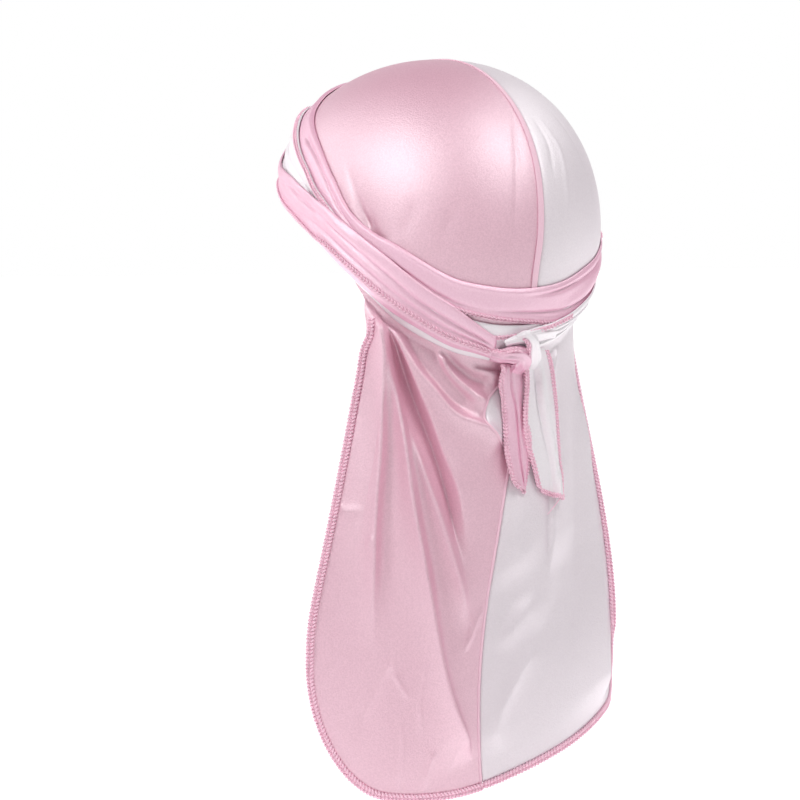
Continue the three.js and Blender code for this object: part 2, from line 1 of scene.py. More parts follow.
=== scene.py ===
# %% [markdown]
# # A two-tone satin durag, tied
#
# One half is pale pink satin and the other white. A durag is cut from two long panels joined by
# one seam from the forehead to the end of the tail. Two long straps leave the forehead, cross
# round the head, and are tied at the back. Every raw edge is overlocked in pink thread.
#
# The lesson builds each piece over one head form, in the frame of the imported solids: +Z up, the
# wearer looking along -Y, the wearer's left (the pink half) at +X. Lengths are millimetres from
# the head's centre until a mesh is made, because cloth sizes are easiest to think of that way.

import math

import bpy
import numpy as np
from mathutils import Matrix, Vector


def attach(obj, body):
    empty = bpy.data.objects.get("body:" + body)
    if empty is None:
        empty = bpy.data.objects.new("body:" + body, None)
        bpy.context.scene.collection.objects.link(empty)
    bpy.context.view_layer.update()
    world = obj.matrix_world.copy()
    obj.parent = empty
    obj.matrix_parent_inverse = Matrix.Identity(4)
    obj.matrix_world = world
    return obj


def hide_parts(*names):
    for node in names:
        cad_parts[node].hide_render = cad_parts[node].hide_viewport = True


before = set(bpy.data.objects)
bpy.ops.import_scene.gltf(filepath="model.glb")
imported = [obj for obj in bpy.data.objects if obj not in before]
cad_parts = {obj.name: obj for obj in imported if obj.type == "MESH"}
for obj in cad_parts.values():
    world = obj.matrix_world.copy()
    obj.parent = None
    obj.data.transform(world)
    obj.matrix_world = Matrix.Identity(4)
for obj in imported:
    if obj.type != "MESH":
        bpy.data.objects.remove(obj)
SOLIDS = sorted(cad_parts)


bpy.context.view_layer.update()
print("solids:", ", ".join(SOLIDS))

# %% [markdown]
# ## Tools for curves
#
# Edges and folds of cloth are drawn as short tables. A smooth curve through the rows of a table
# gives every value between them, so a dozen rows can describe an edge half a metre long.

# %% Curves through short tables
def follow(rows, column, x):
    """Value of a column on the smooth curve through a table's rows, at x in the first column."""
    rows = np.asarray(rows, float)
    xs, ys = rows[:, 0], rows[:, column]
    slopes = np.empty_like(ys)
    slopes[1:-1] = (ys[2:] - ys[:-2]) / (xs[2:] - xs[:-2])
    slopes[0] = (ys[1] - ys[0]) / (xs[1] - xs[0])
    slopes[-1] = (ys[-1] - ys[-2]) / (xs[-1] - xs[-2])
    x = np.clip(x, xs[0], xs[-1])
    at = np.clip(np.searchsorted(xs, x) - 1, 0, len(xs) - 2)
    span = xs[at + 1] - xs[at]
    share = (x - xs[at]) / span
    ease = share * share * (3 - 2 * share)
    bend = (1 - share) * slopes[at] - share * slopes[at + 1]
    return ys[at] + (ys[at + 1] - ys[at]) * ease + share * (1 - share) * bend * span


def smooth_line(points, count=24):
    """A smooth line through a few points, as evenly spaced points."""
    points = np.asarray(points, float)
    lengths = np.linalg.norm(np.diff(points, axis=0), axis=1)
    places = np.concatenate([[0], np.cumsum(lengths)]) / lengths.sum()
    steps = np.linspace(0, 1, count)
    return np.stack([follow(np.column_stack([places, points[:, i]]), 1, steps)
                     for i in range(points.shape[1])], -1)


def ramp(x, start, end):
    """0 before start, 1 after end and an easy slope between them."""
    share = np.clip((np.asarray(x, float) - start) / (end - start), 0, 1)
    return share * share * (3 - 2 * share)


def bell(x):
    """1 at nought, fading to both sides, to about a third at one."""
    return np.exp(-x ** 2)


def bell_weights(reach, softness):
    """Weights of a soft average over so many neighbours to each side."""
    weights = bell(np.arange(-reach, reach + 1) / softness)
    return weights / weights.sum()


def unit(vectors):
    """The same directions with a length of one."""
    return vectors / np.maximum(np.linalg.norm(vectors, axis=-1, keepdims=True), 1e-9)


print("halfway between two rows:", float(follow([[0, 0], [1, 2], [2, 2]], 1, 0.5)))

# %% [markdown]
# ## The head form
#
# Stretched satin takes the shape of what is under it, so the crown and the straps are laid over
# one smooth form: rounder than a box and flatter than an egg, fuller at the forehead. A place on
# it is a turn (0 at the forehead, 90 at the wearer's left, 180 at the back) and a level above
# the middle.

# %% A head to lay cloth on
HEAD_HALF_WIDTH = 75
HEAD_HALF_LENGTH = 95
HEAD_TOP_HEIGHT = 89.5
HEAD_LOWER_HEIGHT = 110
PLAN_ROUNDNESS = 2.1
TOP_ROUNDNESS = 2.15
LOWER_ROUNDNESS = 2.0
BACK_WIDENING = 0.05
FOREHEAD_BULGE = 0.07
FOREHEAD_TURN, FOREHEAD_LEVEL, FOREHEAD_REACH = 51.6, 34.4, 22.9
# Under the straps the cloth is drawn in on the wearer's right, where the knot pulls it tight.
TUCK, TUCK_TURN, TUCK_REACH, TUCK_LEVEL = 0.09, 235, 32, 30


def on_head(turn, level, height):
    """Point at a height over the head form."""
    turn, level, height = np.broadcast_arrays(*(np.asarray(v, float) for v in (turn, level, height)))
    around, up = np.radians(turn), np.radians(level)
    x, y, z = np.sin(around) * np.cos(up), -np.cos(around) * np.cos(up), np.sin(up)
    half_width = HEAD_HALF_WIDTH * (1 + BACK_WIDENING * y)
    plan = (np.abs(x) / half_width) ** PLAN_ROUNDNESS + (np.abs(y) / HEAD_HALF_LENGTH) ** PLAN_ROUNDNESS
    tall = np.where(z > 0, HEAD_TOP_HEIGHT, HEAD_LOWER_HEIGHT)
    power = np.where(z > 0, TOP_ROUNDNESS, LOWER_ROUNDNESS)
    size = (plan ** (power / PLAN_ROUNDNESS) + (np.abs(z) / tall) ** power) ** (1 / power)
    wrapped = np.mod(turn, 360)
    aside = np.minimum(wrapped, 360 - wrapped) / FOREHEAD_TURN
    above = (level - FOREHEAD_LEVEL) / FOREHEAD_REACH
    beside = (wrapped - TUCK_TURN) / TUCK_REACH
    tucked = 1 - TUCK * bell(beside) * ramp(-level, 0, TUCK_LEVEL)
    reach = tucked * (1 + FOREHEAD_BULGE * bell(aside) * bell(above)) / size + height
    return np.stack([x, y, z], -1) * reach[..., None]


def metres(points):
    """Millimetres from the head's centre as metres in the frame of the solids."""
    return (np.asarray(points, float) - [0, 0, HEAD_TOP_HEIGHT]) / 1000


girth = np.linalg.norm(np.diff(on_head(np.arange(361), 0, 0), axis=0), axis=1).sum()
print("girth of the head form: %.0f mm" % girth)

# %% [markdown]
# ## From a net of points to cloth
#
# Each sheet is a net of points with a row for every line along the cloth. The net becomes a mesh
# with a size in metres across and along it as its UV, so that a weave keeps its scale, and a
# Solidify modifier gives it two faces and an edge. Threads and bunched bands are tubes instead,
# with a ring of points at every step along them.

# %% Meshes
CLOTH_WALL = 0.6


def add_mesh(name, points, faces, uv=None):
    """A smooth-shaded object from points in millimetres."""
    mesh = bpy.data.meshes.new(name)
    mesh.from_pydata(metres(points).tolist(), [], [list(map(int, face)) for face in faces])
    mesh.shade_smooth()
    if uv is not None:
        layer = mesh.uv_layers.new(name="cloth")
        corner = np.empty(len(mesh.loops), int)
        mesh.loops.foreach_get("vertex_index", corner)
        layer.data.foreach_set("uv", np.asarray(uv, float)[corner].ravel())
    piece = bpy.data.objects.new(name, mesh)
    bpy.context.scene.collection.objects.link(piece)
    return piece


def add_sheet(name, points, faces, uv):
    """A sheet of cloth: a mesh given two faces, half a wall to each side."""
    piece = add_mesh(name, points, faces, uv)
    wall = piece.modifiers.new("wall", "SOLIDIFY")
    wall.thickness = CLOTH_WALL / 1000
    wall.offset = 0
    return piece


def net_faces(at):
    """Squares of a net, from the indices of its points: rows go down and columns to the right."""
    return np.stack([at[:-1, :-1], at[1:, :-1], at[1:, 1:], at[:-1, 1:]], -1).reshape(-1, 4)


def net_normals(net):
    """Outward direction at each point of such a net."""
    down = np.gradient(net, axis=0)
    right = np.gradient(net, axis=1)
    return unit(np.cross(down, right))


def net_lengths(net):
    """Distances across and along a net in metres, for its UV."""
    across = np.linalg.norm(np.diff(net, axis=1), axis=2).mean(0)
    along = np.linalg.norm(np.diff(net, axis=0), axis=2).mean(1)
    u = np.concatenate([[0], np.cumsum(across)])
    v = np.concatenate([[0], np.cumsum(along)])
    grid = np.meshgrid(u, -v)
    return np.stack(grid, -1).reshape(-1, 2) / 1000


def add_net(name, net):
    """A sheet whose points are one net."""
    at = np.arange(net.shape[0] * net.shape[1]).reshape(net.shape[:2])
    return add_sheet(name, net.reshape(-1, 3), net_faces(at), net_lengths(net))


def tube_faces(at):
    """Walls and end caps of tubes, from the indices of their points: tube, ring, place on it."""
    turned = np.roll(at, -1, axis=2)
    walls = np.stack([at[:, :-1], turned[:, :-1], turned[:, 1:], at[:, 1:]], -1).reshape(-1, 4)
    return walls.tolist() + at[:, 0, ::-1].tolist() + at[:, -1].tolist()


print("wall of the cloth:", CLOTH_WALL, "mm")

# %% [markdown]
# ## Folds
#
# A fold has a crest line on the flat cloth and a profile across it. Gravity folds are seldom
# even: one side falls steeply and the other fades away, so each side of the crest has its own
# width. A small roundness keeps the crest from being a knife edge.

# %% Distance from a fold and its profile
def from_line(places, line):
    """Signed distances of places from a line on the flat cloth, and shares along the line."""
    places = np.asarray(places, float)
    best = np.full(places.shape[:-1], np.inf)
    signed = np.zeros_like(best)
    share = np.zeros_like(best)
    last = len(line) - 1
    for i in range(last):
        step = line[i + 1] - line[i]
        off = places - line[i]
        along = np.clip((off @ step) / (step @ step), 0, 1)
        gap = off - along[..., None] * step
        distance = np.hypot(gap[..., 0], gap[..., 1])
        side = np.where(off[..., 0] * step[1] - off[..., 1] * step[0] >= 0, 1.0, -1.0)
        nearer = distance < best
        best = np.where(nearer, distance, best)
        signed = np.where(nearer, side * distance, signed)
        share = np.where(nearer, (i + along) / last, share)
    return signed, share


def fold_profile(signed, before, after, roundness):
    """Height of a crest: steep or slow before and after it."""
    width = np.where(signed < 0, before, after)
    reach = np.sqrt(signed ** 2 + roundness ** 2) - roundness
    return np.exp(-reach / width)


def raise_folds(places, folds, scale):
    """Sum of all folds at places on the flat cloth; scale turns shares into millimetres."""
    total = np.zeros(places.shape[:-1])
    flat = places * scale
    for rise, before, after, roundness, fade_in, fade_out, points in folds:
        line = smooth_line(points) * scale
        signed, share = from_line(flat, line)
        strength = ramp(share, -0.001, fade_in) * (1 - ramp(share, 1 - fade_out, 1.001))
        total += rise * strength * fold_profile(signed, before, after, roundness)
    return total


print("share of a crest left 2 mm away: %.2f" % fold_profile(2.0, 1.0, 3.0, 0.3))

# %% [markdown]
# ## The crown
#
# The crown is held tight by the straps, so it is nearly smooth. Only where the straps pull it
# down do long wrinkles run together, behind the wearer's left ear, and thin ones run beside the
# seam. They are drawn on a chart of the head, in millimetres at the height of the straps.

# %% Wrinkles of the crown
RIM = [
    (0, 20), (22, 18), (40, 17.5), (58, 11), (77, 4), (92, -3), (105, -13), (112.5, -23),
    (127.5, -34), (146, -41), (165, -44.5), (180, -44.5), (193, -38), (204, -34), (225, -29.5),
    (247.5, -19), (268, -4), (302, 10), (320, 17.5), (338, 18), (360, 20),
]
CHART = np.array([1.45, -1.6])
# Middle of the crown's cloth over the head form, and half the gap between the two panels.
CLOTH_HEIGHT, PANEL_GAP = 0.5, 0.1

# rise, width before, width after, roundness, fade in, fade out, line of (turn, level)
CROWN_WRINKLES = [
    (-1.5, 1.8, 3.2, 0.5, 0.35, 0.1,
     [(100.2, 30.3), (105.2, 22.4), (110, 12.8), (113.9, 5.4), (118, -0.4)]),
    (1.0, 2.0, 2.0, 0.8, 0.35, 0.1, [(103, 29), (107.5, 20), (112, 11), (115.5, 4), (118.5, -1)]),
    (-1.3, 1.5, 2.6, 0.5, 0.35, 0.1, [(106.6, 23.1), (110.9, 14.6), (114.2, 6.5), (118.4, -0.7)]),
    (0.9, 1.6, 1.8, 0.6, 0.4, 0.1, [(109, 20), (113.4, 11.5), (116.8, 4.5), (119.5, -1)]),
    (-1.0, 1.4, 2.4, 0.5, 0.4, 0.1, [(110, 16.5), (114.7, 9), (118.4, 2.9), (120, -1.5)]),
    (-2.2, 5.0, 5.0, 2.0, 0.6, 0.05, [(108, 16), (114, 6), (119, -2), (121, -6)]),
    (-0.45, 0.9, 1.4, 0.4, 0.3, 0.3,
     [(174, 41.9), (170, 28.3), (167.3, 12.1), (165.9, -3), (164.7, -12.8)]),
    (-0.35, 0.8, 1.2, 0.4, 0.4, 0.4, [(173.7, 39.7), (170.9, 24.8), (170.6, 13.7)]),
    (0.6, 1.2, 1.0, 0.4, 0.3, 0.3,
     [(184, 39.9), (186.6, 32.1), (188.5, 25.1), (187.1, 12.2), (187.4, 0), (186.3, -9.8)]),
    (-0.5, 1.0, 1.0, 0.5, 0.3, 0.3, [(181.4, 38.6), (183.8, 27.4), (182.4, 18.4), (182.6, 13.7)]),
    (-0.6, 2.0, 2.0, 0.8, 0.3, 0.3, [(196, 44), (201, 30), (203, 15), (201, 0)]),
    (-0.5, 2.5, 2.5, 1.5, 0.4, 0.4, [(150, 12), (146, 2), (143, -8)]),
    (-0.5, 2.5, 2.5, 1.5, 0.4, 0.4, [(136, 12), (133, 4), (131, -6)]),
]
SEAM_DIP, SEAM_DIP_WIDTH = 0.8, 1.0
# The seam leans a few degrees to the wearer's left down the back of the head: (level, turn).
SEAM_LEAN = [(-45, 0), (-28, 2.5), (-15, 4.4), (0, 3.4), (30, 2.6), (60, 3.2), (80, 1.5), (90, 0)]
LEAN_REACH = 35


def leaning(turn, level):
    """Turn of a place once the seam leans over."""
    return turn - follow(SEAM_LEAN, 1, level) * bell((turn - 180) / LEAN_REACH)


def seam_dip(distance):
    """The two panels turn in where they are sewn together."""
    return -SEAM_DIP * np.exp(-(np.abs(distance) / SEAM_DIP_WIDTH))


print("wrinkles drawn on the crown:", len(CROWN_WRINKLES))

# %% [markdown]
# ## The tail
#
# Below the straps the cloth hangs free. It leaves the head along the crown's lower edge, flares
# out over the neck and shoulders, and its lower corners are cut round. Its end is drawn as a
# curve through a few places, and every place higher up lies between the crown and that end.

# %% Shape of the tail
TAIL_HALF_TURN = 67.5
TAIL_SIDE_REACH = 100
TAIL_BACK_REACH = 90
TAIL_DROP = 284
SIDE_FLARE, BACK_FLARE = 1.7, 1.1
SEAM_DRIFT = 0.11
SEAM_SWING = 140
CORNERS = {-1: (0.42, 58), 1: (0.2, 24)}
FLAT_TAIL = np.array([105, 225])

# place across, share of the side reach, share of the back reach, share of the drop
TAIL_END = [
    (-1, 1, 0.29, 0.982), (-0.6, 0.78, 0.67, 1.002), (-0.3, 0.54, 0.84, 1.002), (0, 0.25, 0.9, 0.984),
    (0.35, -0.14, 1, 0.93), (0.7, -0.5, 0.89, 0.88), (1, -0.8, 0.58, 0.85),
]
# Behind the ears the tail flares later than at the middle of the back.
FLARE_GROWTH = 1.5


def smooth_tail(across, down):
    """Middle of the tail's cloth without folds; across -1 to 1 from left to right, down 0 to 1."""
    across, down = np.broadcast_arrays(np.asarray(across, float), np.asarray(down, float))
    left = across < 0
    share = np.where(left, CORNERS[-1][0], CORNERS[1][0])
    rise = np.where(left, CORNERS[-1][1], CORNERS[1][1])
    corner = np.maximum(0, (np.abs(across) - 1 + share) / share) * math.pi / 2
    rounded = 1 - share + share * np.sin(corner)
    bent = np.where(corner > 0, np.abs(across) * (1 - down) + rounded * down, np.abs(across))
    drift = SEAM_DRIFT * np.sin(np.radians(SEAM_SWING * down)) * (1 - across ** 2) ** 2
    place = np.sign(across) * bent - drift
    turn = 180 + TAIL_HALF_TURN * across
    top = on_head(turn, follow(RIM, 1, turn), CLOTH_HEIGHT)
    side = follow(TAIL_END, 1, place) * TAIL_SIDE_REACH
    back = follow(TAIL_END, 2, place) * TAIL_BACK_REACH
    drop = follow(TAIL_END, 3, place) * TAIL_DROP
    slow = BACK_FLARE + (SIDE_FLARE - BACK_FLARE) * np.minimum(1, across ** 2 * FLARE_GROWTH)
    flare = np.sin(math.pi / 2 * np.clip(down, 0, 1)) ** slow
    foot = np.stack([side, back, -drop + rise * (1 - np.cos(corner))], -1)
    shares = np.stack([flare, flare, down], -1)
    return top + (foot - top) * shares


lowest = smooth_tail(np.linspace(-1, 1, 41), 1)[:, 2].min()
print("lowest hem: %.0f mm under the crown's top" % (HEAD_TOP_HEIGHT - lowest))

# %% [markdown]
# ## Folds of the tail
#
# Where the knot pulls at the cloth, large folds fan out from behind the ear towards the hem, and
# shorter ones swag from the ear to the knot. The white half hangs smoother, with broad hollows
# and one long turn towards its outer edge. Fine wrinkles are left by folding and packing.

# %% Folds drawn on the flat tail
# rise, width before, width after, roundness, fade in, fade out, line of (across, down)
FAN_FOLDS = [
    (7.5, 11, 2.6, 0.3, 0.05, 0.3,
     [(-0.86, -0.03), (-0.85, 0.0), (-0.83, 0.07), (-0.82, 0.19), (-0.79, 0.29), (-0.76, 0.4),
      (-0.71, 0.52), (-0.65, 0.71)]),
    (9.5, 9, 2.2, 0.25, 0.05, 0.1,
     [(-0.87, -0.03), (-0.83, 0.02), (-0.81, 0.09), (-0.75, 0.15), (-0.66, 0.24), (-0.57, 0.35),
      (-0.45, 0.47), (-0.36, 0.57), (-0.18, 0.8), (-0.05, 0.94)]),
    (5.5, 5, 2.8, 0.8, 0.3, 0.2,
     [(-0.74, 0.13), (-0.66, 0.2), (-0.54, 0.28), (-0.41, 0.36), (-0.26, 0.47), (-0.18, 0.54),
      (-0.11, 0.62)]),
    (-6.0, 3.5, 5, 1.0, 0.05, 0.3,
     [(-0.88, -0.03), (-0.82, 0.02), (-0.76, 0.08), (-0.66, 0.14), (-0.53, 0.21), (-0.42, 0.28),
      (-0.34, 0.34), (-0.16, 0.5)]),
    (6.5, 2.4, 9, 0.4, 0.05, 0.35,
     [(-0.88, -0.03), (-0.82, 0.0), (-0.76, 0.03), (-0.66, 0.09), (-0.56, 0.15), (-0.47, 0.21),
      (-0.32, 0.3), (-0.16, 0.45)]),
]
SWAG_FOLDS = [
    (5.5, 7, 2.5, 0.5, 0.1, 0.15,
     [(-0.86, -0.03), (-0.78, 0.01), (-0.66, 0.06), (-0.58, 0.08), (-0.44, 0.12), (-0.25, 0.135),
      (-0.2, 0.14), (-0.06, 0.18)]),
    (-2.5, 3, 3, 0.8, 0.1, 0.2,
     [(-0.8, -0.03), (-0.75, 0.0), (-0.62, 0.05), (-0.46, 0.09), (-0.28, 0.11)]),
    (5.0, 3.5, 2.5, 0.5, 0.1, 0.15,
     [(-0.55, -0.03), (-0.53, 0.0), (-0.51, 0.02), (-0.46, 0.04), (-0.34, 0.065), (-0.22, 0.085)]),
    (-2.5, 2.5, 2.5, 0.8, 0.1, 0.2,
     [(-0.6, -0.03), (-0.57, 0.0), (-0.53, 0.03), (-0.46, 0.055), (-0.31, 0.09)]),
    (-4.0, 3.5, 3.5, 1.0, 0.1, 0.2,
     [(-0.52, -0.03), (-0.48, 0.0), (-0.44, 0.012), (-0.33, 0.03), (-0.2, 0.035)]),
    (3.5, 2.5, 2, 0.5, 0.1, 0.2,
     [(-0.5, -0.03), (-0.43, -0.01), (-0.33, 0.0), (-0.22, 0.008), (-0.14, 0.012)]),
]
WHITE_FOLDS = [
    (1.8, 1.0, 6, 0.3, 0.2, 0.3,
     [(0.265, 0.29), (0.285, 0.35), (0.3, 0.41), (0.315, 0.48), (0.325, 0.58)]),
    (-1.3, 2.5, 0.8, 0.3, 0.2, 0.3,
     [(0.25, 0.29), (0.27, 0.35), (0.285, 0.41), (0.3, 0.48), (0.31, 0.58)]),
    (2.0, 8, 8, 5.0, 0.4, 0.4, [(0.1, 0.3), (0.1, 0.4), (0.15, 0.48), (0.23, 0.56)]),
    (-1.3, 6, 6, 4.0, 0.4, 0.4, [(0.06, 0.48), (0.14, 0.57), (0.24, 0.62)]),
    (1.6, 6, 6, 4.0, 0.4, 0.4, [(0.3, 0.6), (0.2, 0.64), (0.08, 0.7)]),
    (-1.3, 6, 7, 3.0, 0.3, 0.3, [(0.42, 0.48), (0.37, 0.64), (0.24, 0.76)]),
    (1.5, 6, 3, 1.5, 0.3, 0.2, [(0.3, 0.7), (0.2, 0.78), (0.1, 0.87), (0.12, 0.95)]),
    (-1.6, 6, 6, 3.0, 0.3, 0.3, [(0.36, 0.1), (0.44, 0.35), (0.48, 0.6), (0.42, 0.85)]),
    (7.0, 12, 2.0, 0.6, 0.3, 0.1,
     [(0.4, 0.06), (0.46, 0.15), (0.52, 0.25), (0.58, 0.36), (0.63, 0.48), (0.67, 0.6), (0.67, 0.8),
      (0.69, 1.0)]),
    (-5.0, 5, 8, 2.0, 0.4, 0.1, [(0.6, 0.25), (0.72, 0.45), (0.8, 0.65), (0.82, 1.0)]),
    (2.5, 2.0, 2.0, 0.6, 0.2, 0.5, [(0.215, 0.0), (0.2, 0.04), (0.2, 0.077), (0.24, 0.14)]),
]
FINE_WRINKLES = [
    (1.0, 0.9, 1.2, 0.3, 0.2, 0.4, [(-0.94, 0.535), (-0.88, 0.49), (-0.82, 0.445)]),
    (0.9, 0.9, 1.2, 0.3, 0.4, 0.1, [(-0.77, 0.51), (-0.74, 0.47)]),
    (-0.9, 1.2, 1.6, 0.4, 0.3, 0.3, [(-0.555, 0.663), (-0.58, 0.7), (-0.63, 0.773), (-0.715, 0.933)]),
    (0.8, 1.2, 1.2, 0.4, 0.3, 0.3, [(-0.605, 0.747), (-0.55, 0.73), (-0.48, 0.76), (-0.42, 0.78)]),
    (0.8, 1.5, 1.2, 0.4, 0.3, 0.3, [(-0.34, 0.66), (-0.375, 0.78), (-0.35, 0.873)]),
    (0.7, 1.5, 1.2, 0.4, 0.3, 0.3, [(-0.48, 0.827), (-0.475, 0.92), (-0.51, 0.99)]),
    (1.0, 1.5, 1.2, 0.4, 0.3, 0.3, [(-0.27, 0.89), (-0.325, 0.947), (-0.345, 1.0)]),
    (0.9, 1.0, 1.0, 0.3, 0.3, 0.3, [(-0.13, 0.56), (-0.09, 0.63), (-0.14, 0.68)]),
    (0.9, 1.0, 1.0, 0.3, 0.3, 0.3, [(-0.02, 0.56), (-0.07, 0.61), (-0.12, 0.66)]),
    (0.9, 1.2, 1.2, 0.4, 0.3, 0.3, [(-0.1, 0.86), (-0.15, 0.9), (-0.19, 0.95)]),
]
TAIL_FOLDS = FAN_FOLDS + SWAG_FOLDS + WHITE_FOLDS + FINE_WRINKLES
# Folds begin under the lower edge of the straps, a little above the crown's edge.
FOLDS_FROM, FOLDS_FULL = -0.012, 0.015


def tail_rise(across, down):
    """Height of the folds over the smooth tail."""
    places = np.stack(np.broadcast_arrays(np.asarray(across, float), np.asarray(down, float)), -1)
    return raise_folds(places, TAIL_FOLDS, FLAT_TAIL) * ramp(down, FOLDS_FROM, FOLDS_FULL)


def tail_out(across, down, step=0.004):
    """Outward direction of the smooth tail."""
    down = np.clip(down, step, 1 - step)
    right = smooth_tail(across + step, down) - smooth_tail(across - step, down)
    under = smooth_tail(across, down + step) - smooth_tail(across, down - step)
    return -unit(np.cross(right, under))


def on_tail(across, down, height=0):
    """Point over the folded tail."""
    across, down = np.broadcast_arrays(np.asarray(across, float), np.asarray(down, float))
    lift = tail_rise(across, down) + height
    return smooth_tail(across, down) + tail_out(across, down) * lift[..., None]


print("folds of the tail:", len(TAIL_FOLDS))

# %% [markdown]
# ## The seam's own wander
#
# Just under the knot the seam is dragged to the wearer's left and swings back, because the knot
# sits beside it and pulls. The tail's left edge is drawn in a little towards the back as well.

# %% Cloth dragged sideways
# down, across
SEAM_SWAG = [
    (0, 0), (0.03, 0.13), (0.06, 0.2), (0.09, 0.23), (0.13, 0.22), (0.16, 0.13), (0.185, 0.05),
    (0.23, 0),
]
SWAG_REACH = 0.4
EDGE_DRAW = [(0, 0.02), (0.08, 0.055), (0.3, 0.045), (0.6, 0.05), (0.75, 0.04), (0.9, 0.012), (1, 0)]
EDGE_REACH = 0.6


def dragged(across, down):
    """Where a place of the flat cloth lies once the seam has been dragged aside."""
    across, down = np.broadcast_arrays(np.asarray(across, float), np.asarray(down, float))
    swag = follow(SEAM_SWAG, 1, down) * bell(across / SWAG_REACH) * (1 - across ** 2)
    draw = follow(EDGE_DRAW, 1, down) * ramp(-across, 1 - EDGE_REACH, 1)
    return across - swag + draw


print("the seam is dragged up to %.0f mm" % (FLAT_TAIL[0] * np.array(SEAM_SWAG)[:, 1].max()))

# %% [markdown]
# ## The two panels
#
# Each half is one length of cloth: over the crown, under the straps and down the tail. The net
# has a column for every turn from the forehead to the seam at the back, and the columns behind
# the ear go on down the tail.

# %% Left and right panels
# Share of the tail's length that a degree of level takes, then the fineness of the nets.
DOWN_A_DEGREE = 0.0056
CROWN_COLUMNS = 66
TAIL_COLUMNS = 120
CROWN_ROWS = 90
TAIL_ROWS = 170


def crown_net(turns, side):
    """The crown's half of a panel, from the top of the head down to its lower edge."""
    shares = np.linspace(0, 1, CROWN_ROWS + 1)[:, None]
    rim = follow(RIM, 1, turns)[None, :]
    levels = 90 + (rim - 90) * shares
    leant = leaning(turns[None, :], levels)
    rise = raise_folds(np.stack([leant, levels], -1), CROWN_WRINKLES, CHART)
    bare = on_head(turns[None, :], levels, CLOTH_HEIGHT)
    near_rim = tail_rise((turns[None, :] - 180) / TAIL_HALF_TURN, (rim - levels) * DOWN_A_DEGREE)
    net = on_head(leant, levels, CLOTH_HEIGHT + rise + near_rim + seam_dip(bare[..., 0]))
    net[..., 0] += side * PANEL_GAP
    return net


def tail_net(across, side):
    """The tail's half of a panel, without the row that it shares with the crown."""
    downs = np.linspace(0, 1, TAIL_ROWS + 1)[1:, None]
    lies = dragged(across[None, :], downs)
    to_seam = seam_dip(across * FLAT_TAIL[0])
    net = on_tail(lies, downs) + tail_out(lies, downs) * to_seam[None, :, None]
    net[..., 0] += side * PANEL_GAP
    return net


def add_panel(name, side):
    """One half of the durag: crown and tail as one sheet."""
    front = np.linspace(0, 180 - TAIL_HALF_TURN, CROWN_COLUMNS, endpoint=False)
    back = np.linspace(180 - TAIL_HALF_TURN, 180, TAIL_COLUMNS + 1)
    turns = np.concatenate([front, back])
    if side < 0:
        turns = 360 - turns[::-1]
    in_tail = np.abs(turns - 180) <= TAIL_HALF_TURN + 1e-6
    crown = crown_net(turns, side)
    tail = tail_net((turns[in_tail] - 180) / TAIL_HALF_TURN, side)
    hanging = np.concatenate([crown[-1:, in_tail], tail])
    crown_uv = net_lengths(crown).reshape(crown.shape[:2] + (2,))
    tail_uv = net_lengths(hanging).reshape(hanging.shape[:2] + (2,))
    tail_uv = (tail_uv + crown_uv[-1, in_tail][0] - tail_uv[0, 0])[1:]
    crown_at = np.arange(crown[..., 0].size).reshape(crown.shape[:2])
    tail_at = crown_at.size + np.arange(tail[..., 0].size).reshape(tail.shape[:2])
    hanging_at = np.concatenate([crown_at[-1:, in_tail], tail_at])
    points, uv = (np.concatenate([upper.reshape(-1, size), lower.reshape(-1, size)])
                  for upper, lower, size in ((crown, tail, 3), (crown_uv, tail_uv, 2)))
    return add_sheet(name, points, np.concatenate([net_faces(crown_at), net_faces(hanging_at)]), uv)


left_panel = add_panel("pink_half", 1)
right_panel = add_panel("white_half", -1)
print("panels:", [len(piece.data.polygons) for piece in (left_panel, right_panel)], "faces")

# %% [markdown]
# ## The straps
#
# Each strap leaves the forehead and is wound round the head. A route is a table of its two edges
# by the turn, counted on past 360 for the second time round. Pulled lengthwise, a strap gathers
# into pleats, which run along it at shares of its breadth.

# %% Routes and pleats of the straps
# turn, level of the upper edge, level of the lower edge
LEFT_STRAP = [
    (3, 57, 42), (20, 55.5, 41), (40, 50.5, 36), (52, 45.5, 29), (80, 33.3, 19), (97, 19.7, 5),
    (108, 7.2, -2), (119, -0.7, -8.4), (128, -5, -14.3), (146, -14.6, -24.2), (156, -16.9, -26.6),
    (169, -17.8, -28), (184, -16.2, -28.5), (198, -11.5, -26.5), (207, -8.5, -24), (215, -5, -20.5),
    (231, 1, -14), (247, 7.5, -7), (270, 16, 4), (302, 28, 16.5), (320, 33, 22), (340, 36.5, 24.5),
    (360, 36, 23.5), (380, 30.5, 19), (400, 23.5, 15.5), (418, 21, 9.3), (429, 18.8, 5), (455, 9.4, -7.5),
    (466, 3, -14.5), (484, -8.4, -26.3), (497, -17.7, -32.3), (507, -23.3, -36.2),
    (517, -29.5, -38), (523.5, -33, -39.5),
]
RIGHT_STRAP = [
    (3, 57, 42), (20, 55.5, 41), (40, 50.5, 36), (80, 33, 20), (97, 20, 7), (120, 0, -12),
    (135, -8, -18), (150, -14, -24), (165, -21, -29), (173, -25, -34), (180, -28, -39.5),
    (193, -29.2, -41), (204, -28.3, -40), (213, -25.8, -38.5), (232, -16, -31.5), (243, -8.2, -23.7),
    (254, 1.5, -15.6), (262, 8.6, -8), (272, 16, 0), (282, 24, 8), (308, 37, 18),
    (322, 41, 21), (340, 42, 24), (360, 38, 23.5), (380, 29, 19), (400, 21, 13), (418, 14, 4),
    (450, 5, -6), (473, -4, -17), (489, -12, -25), (505, -18, -29.5), (519, -22, -31.5),
    (531, -26, -34), (541, -28.7, -36.5), (549, -31.3, -38.5),
]
STRAP_COLUMNS = 34
STRAP_CLEARANCE = 0.25
STRAP_BULGE = 1.1
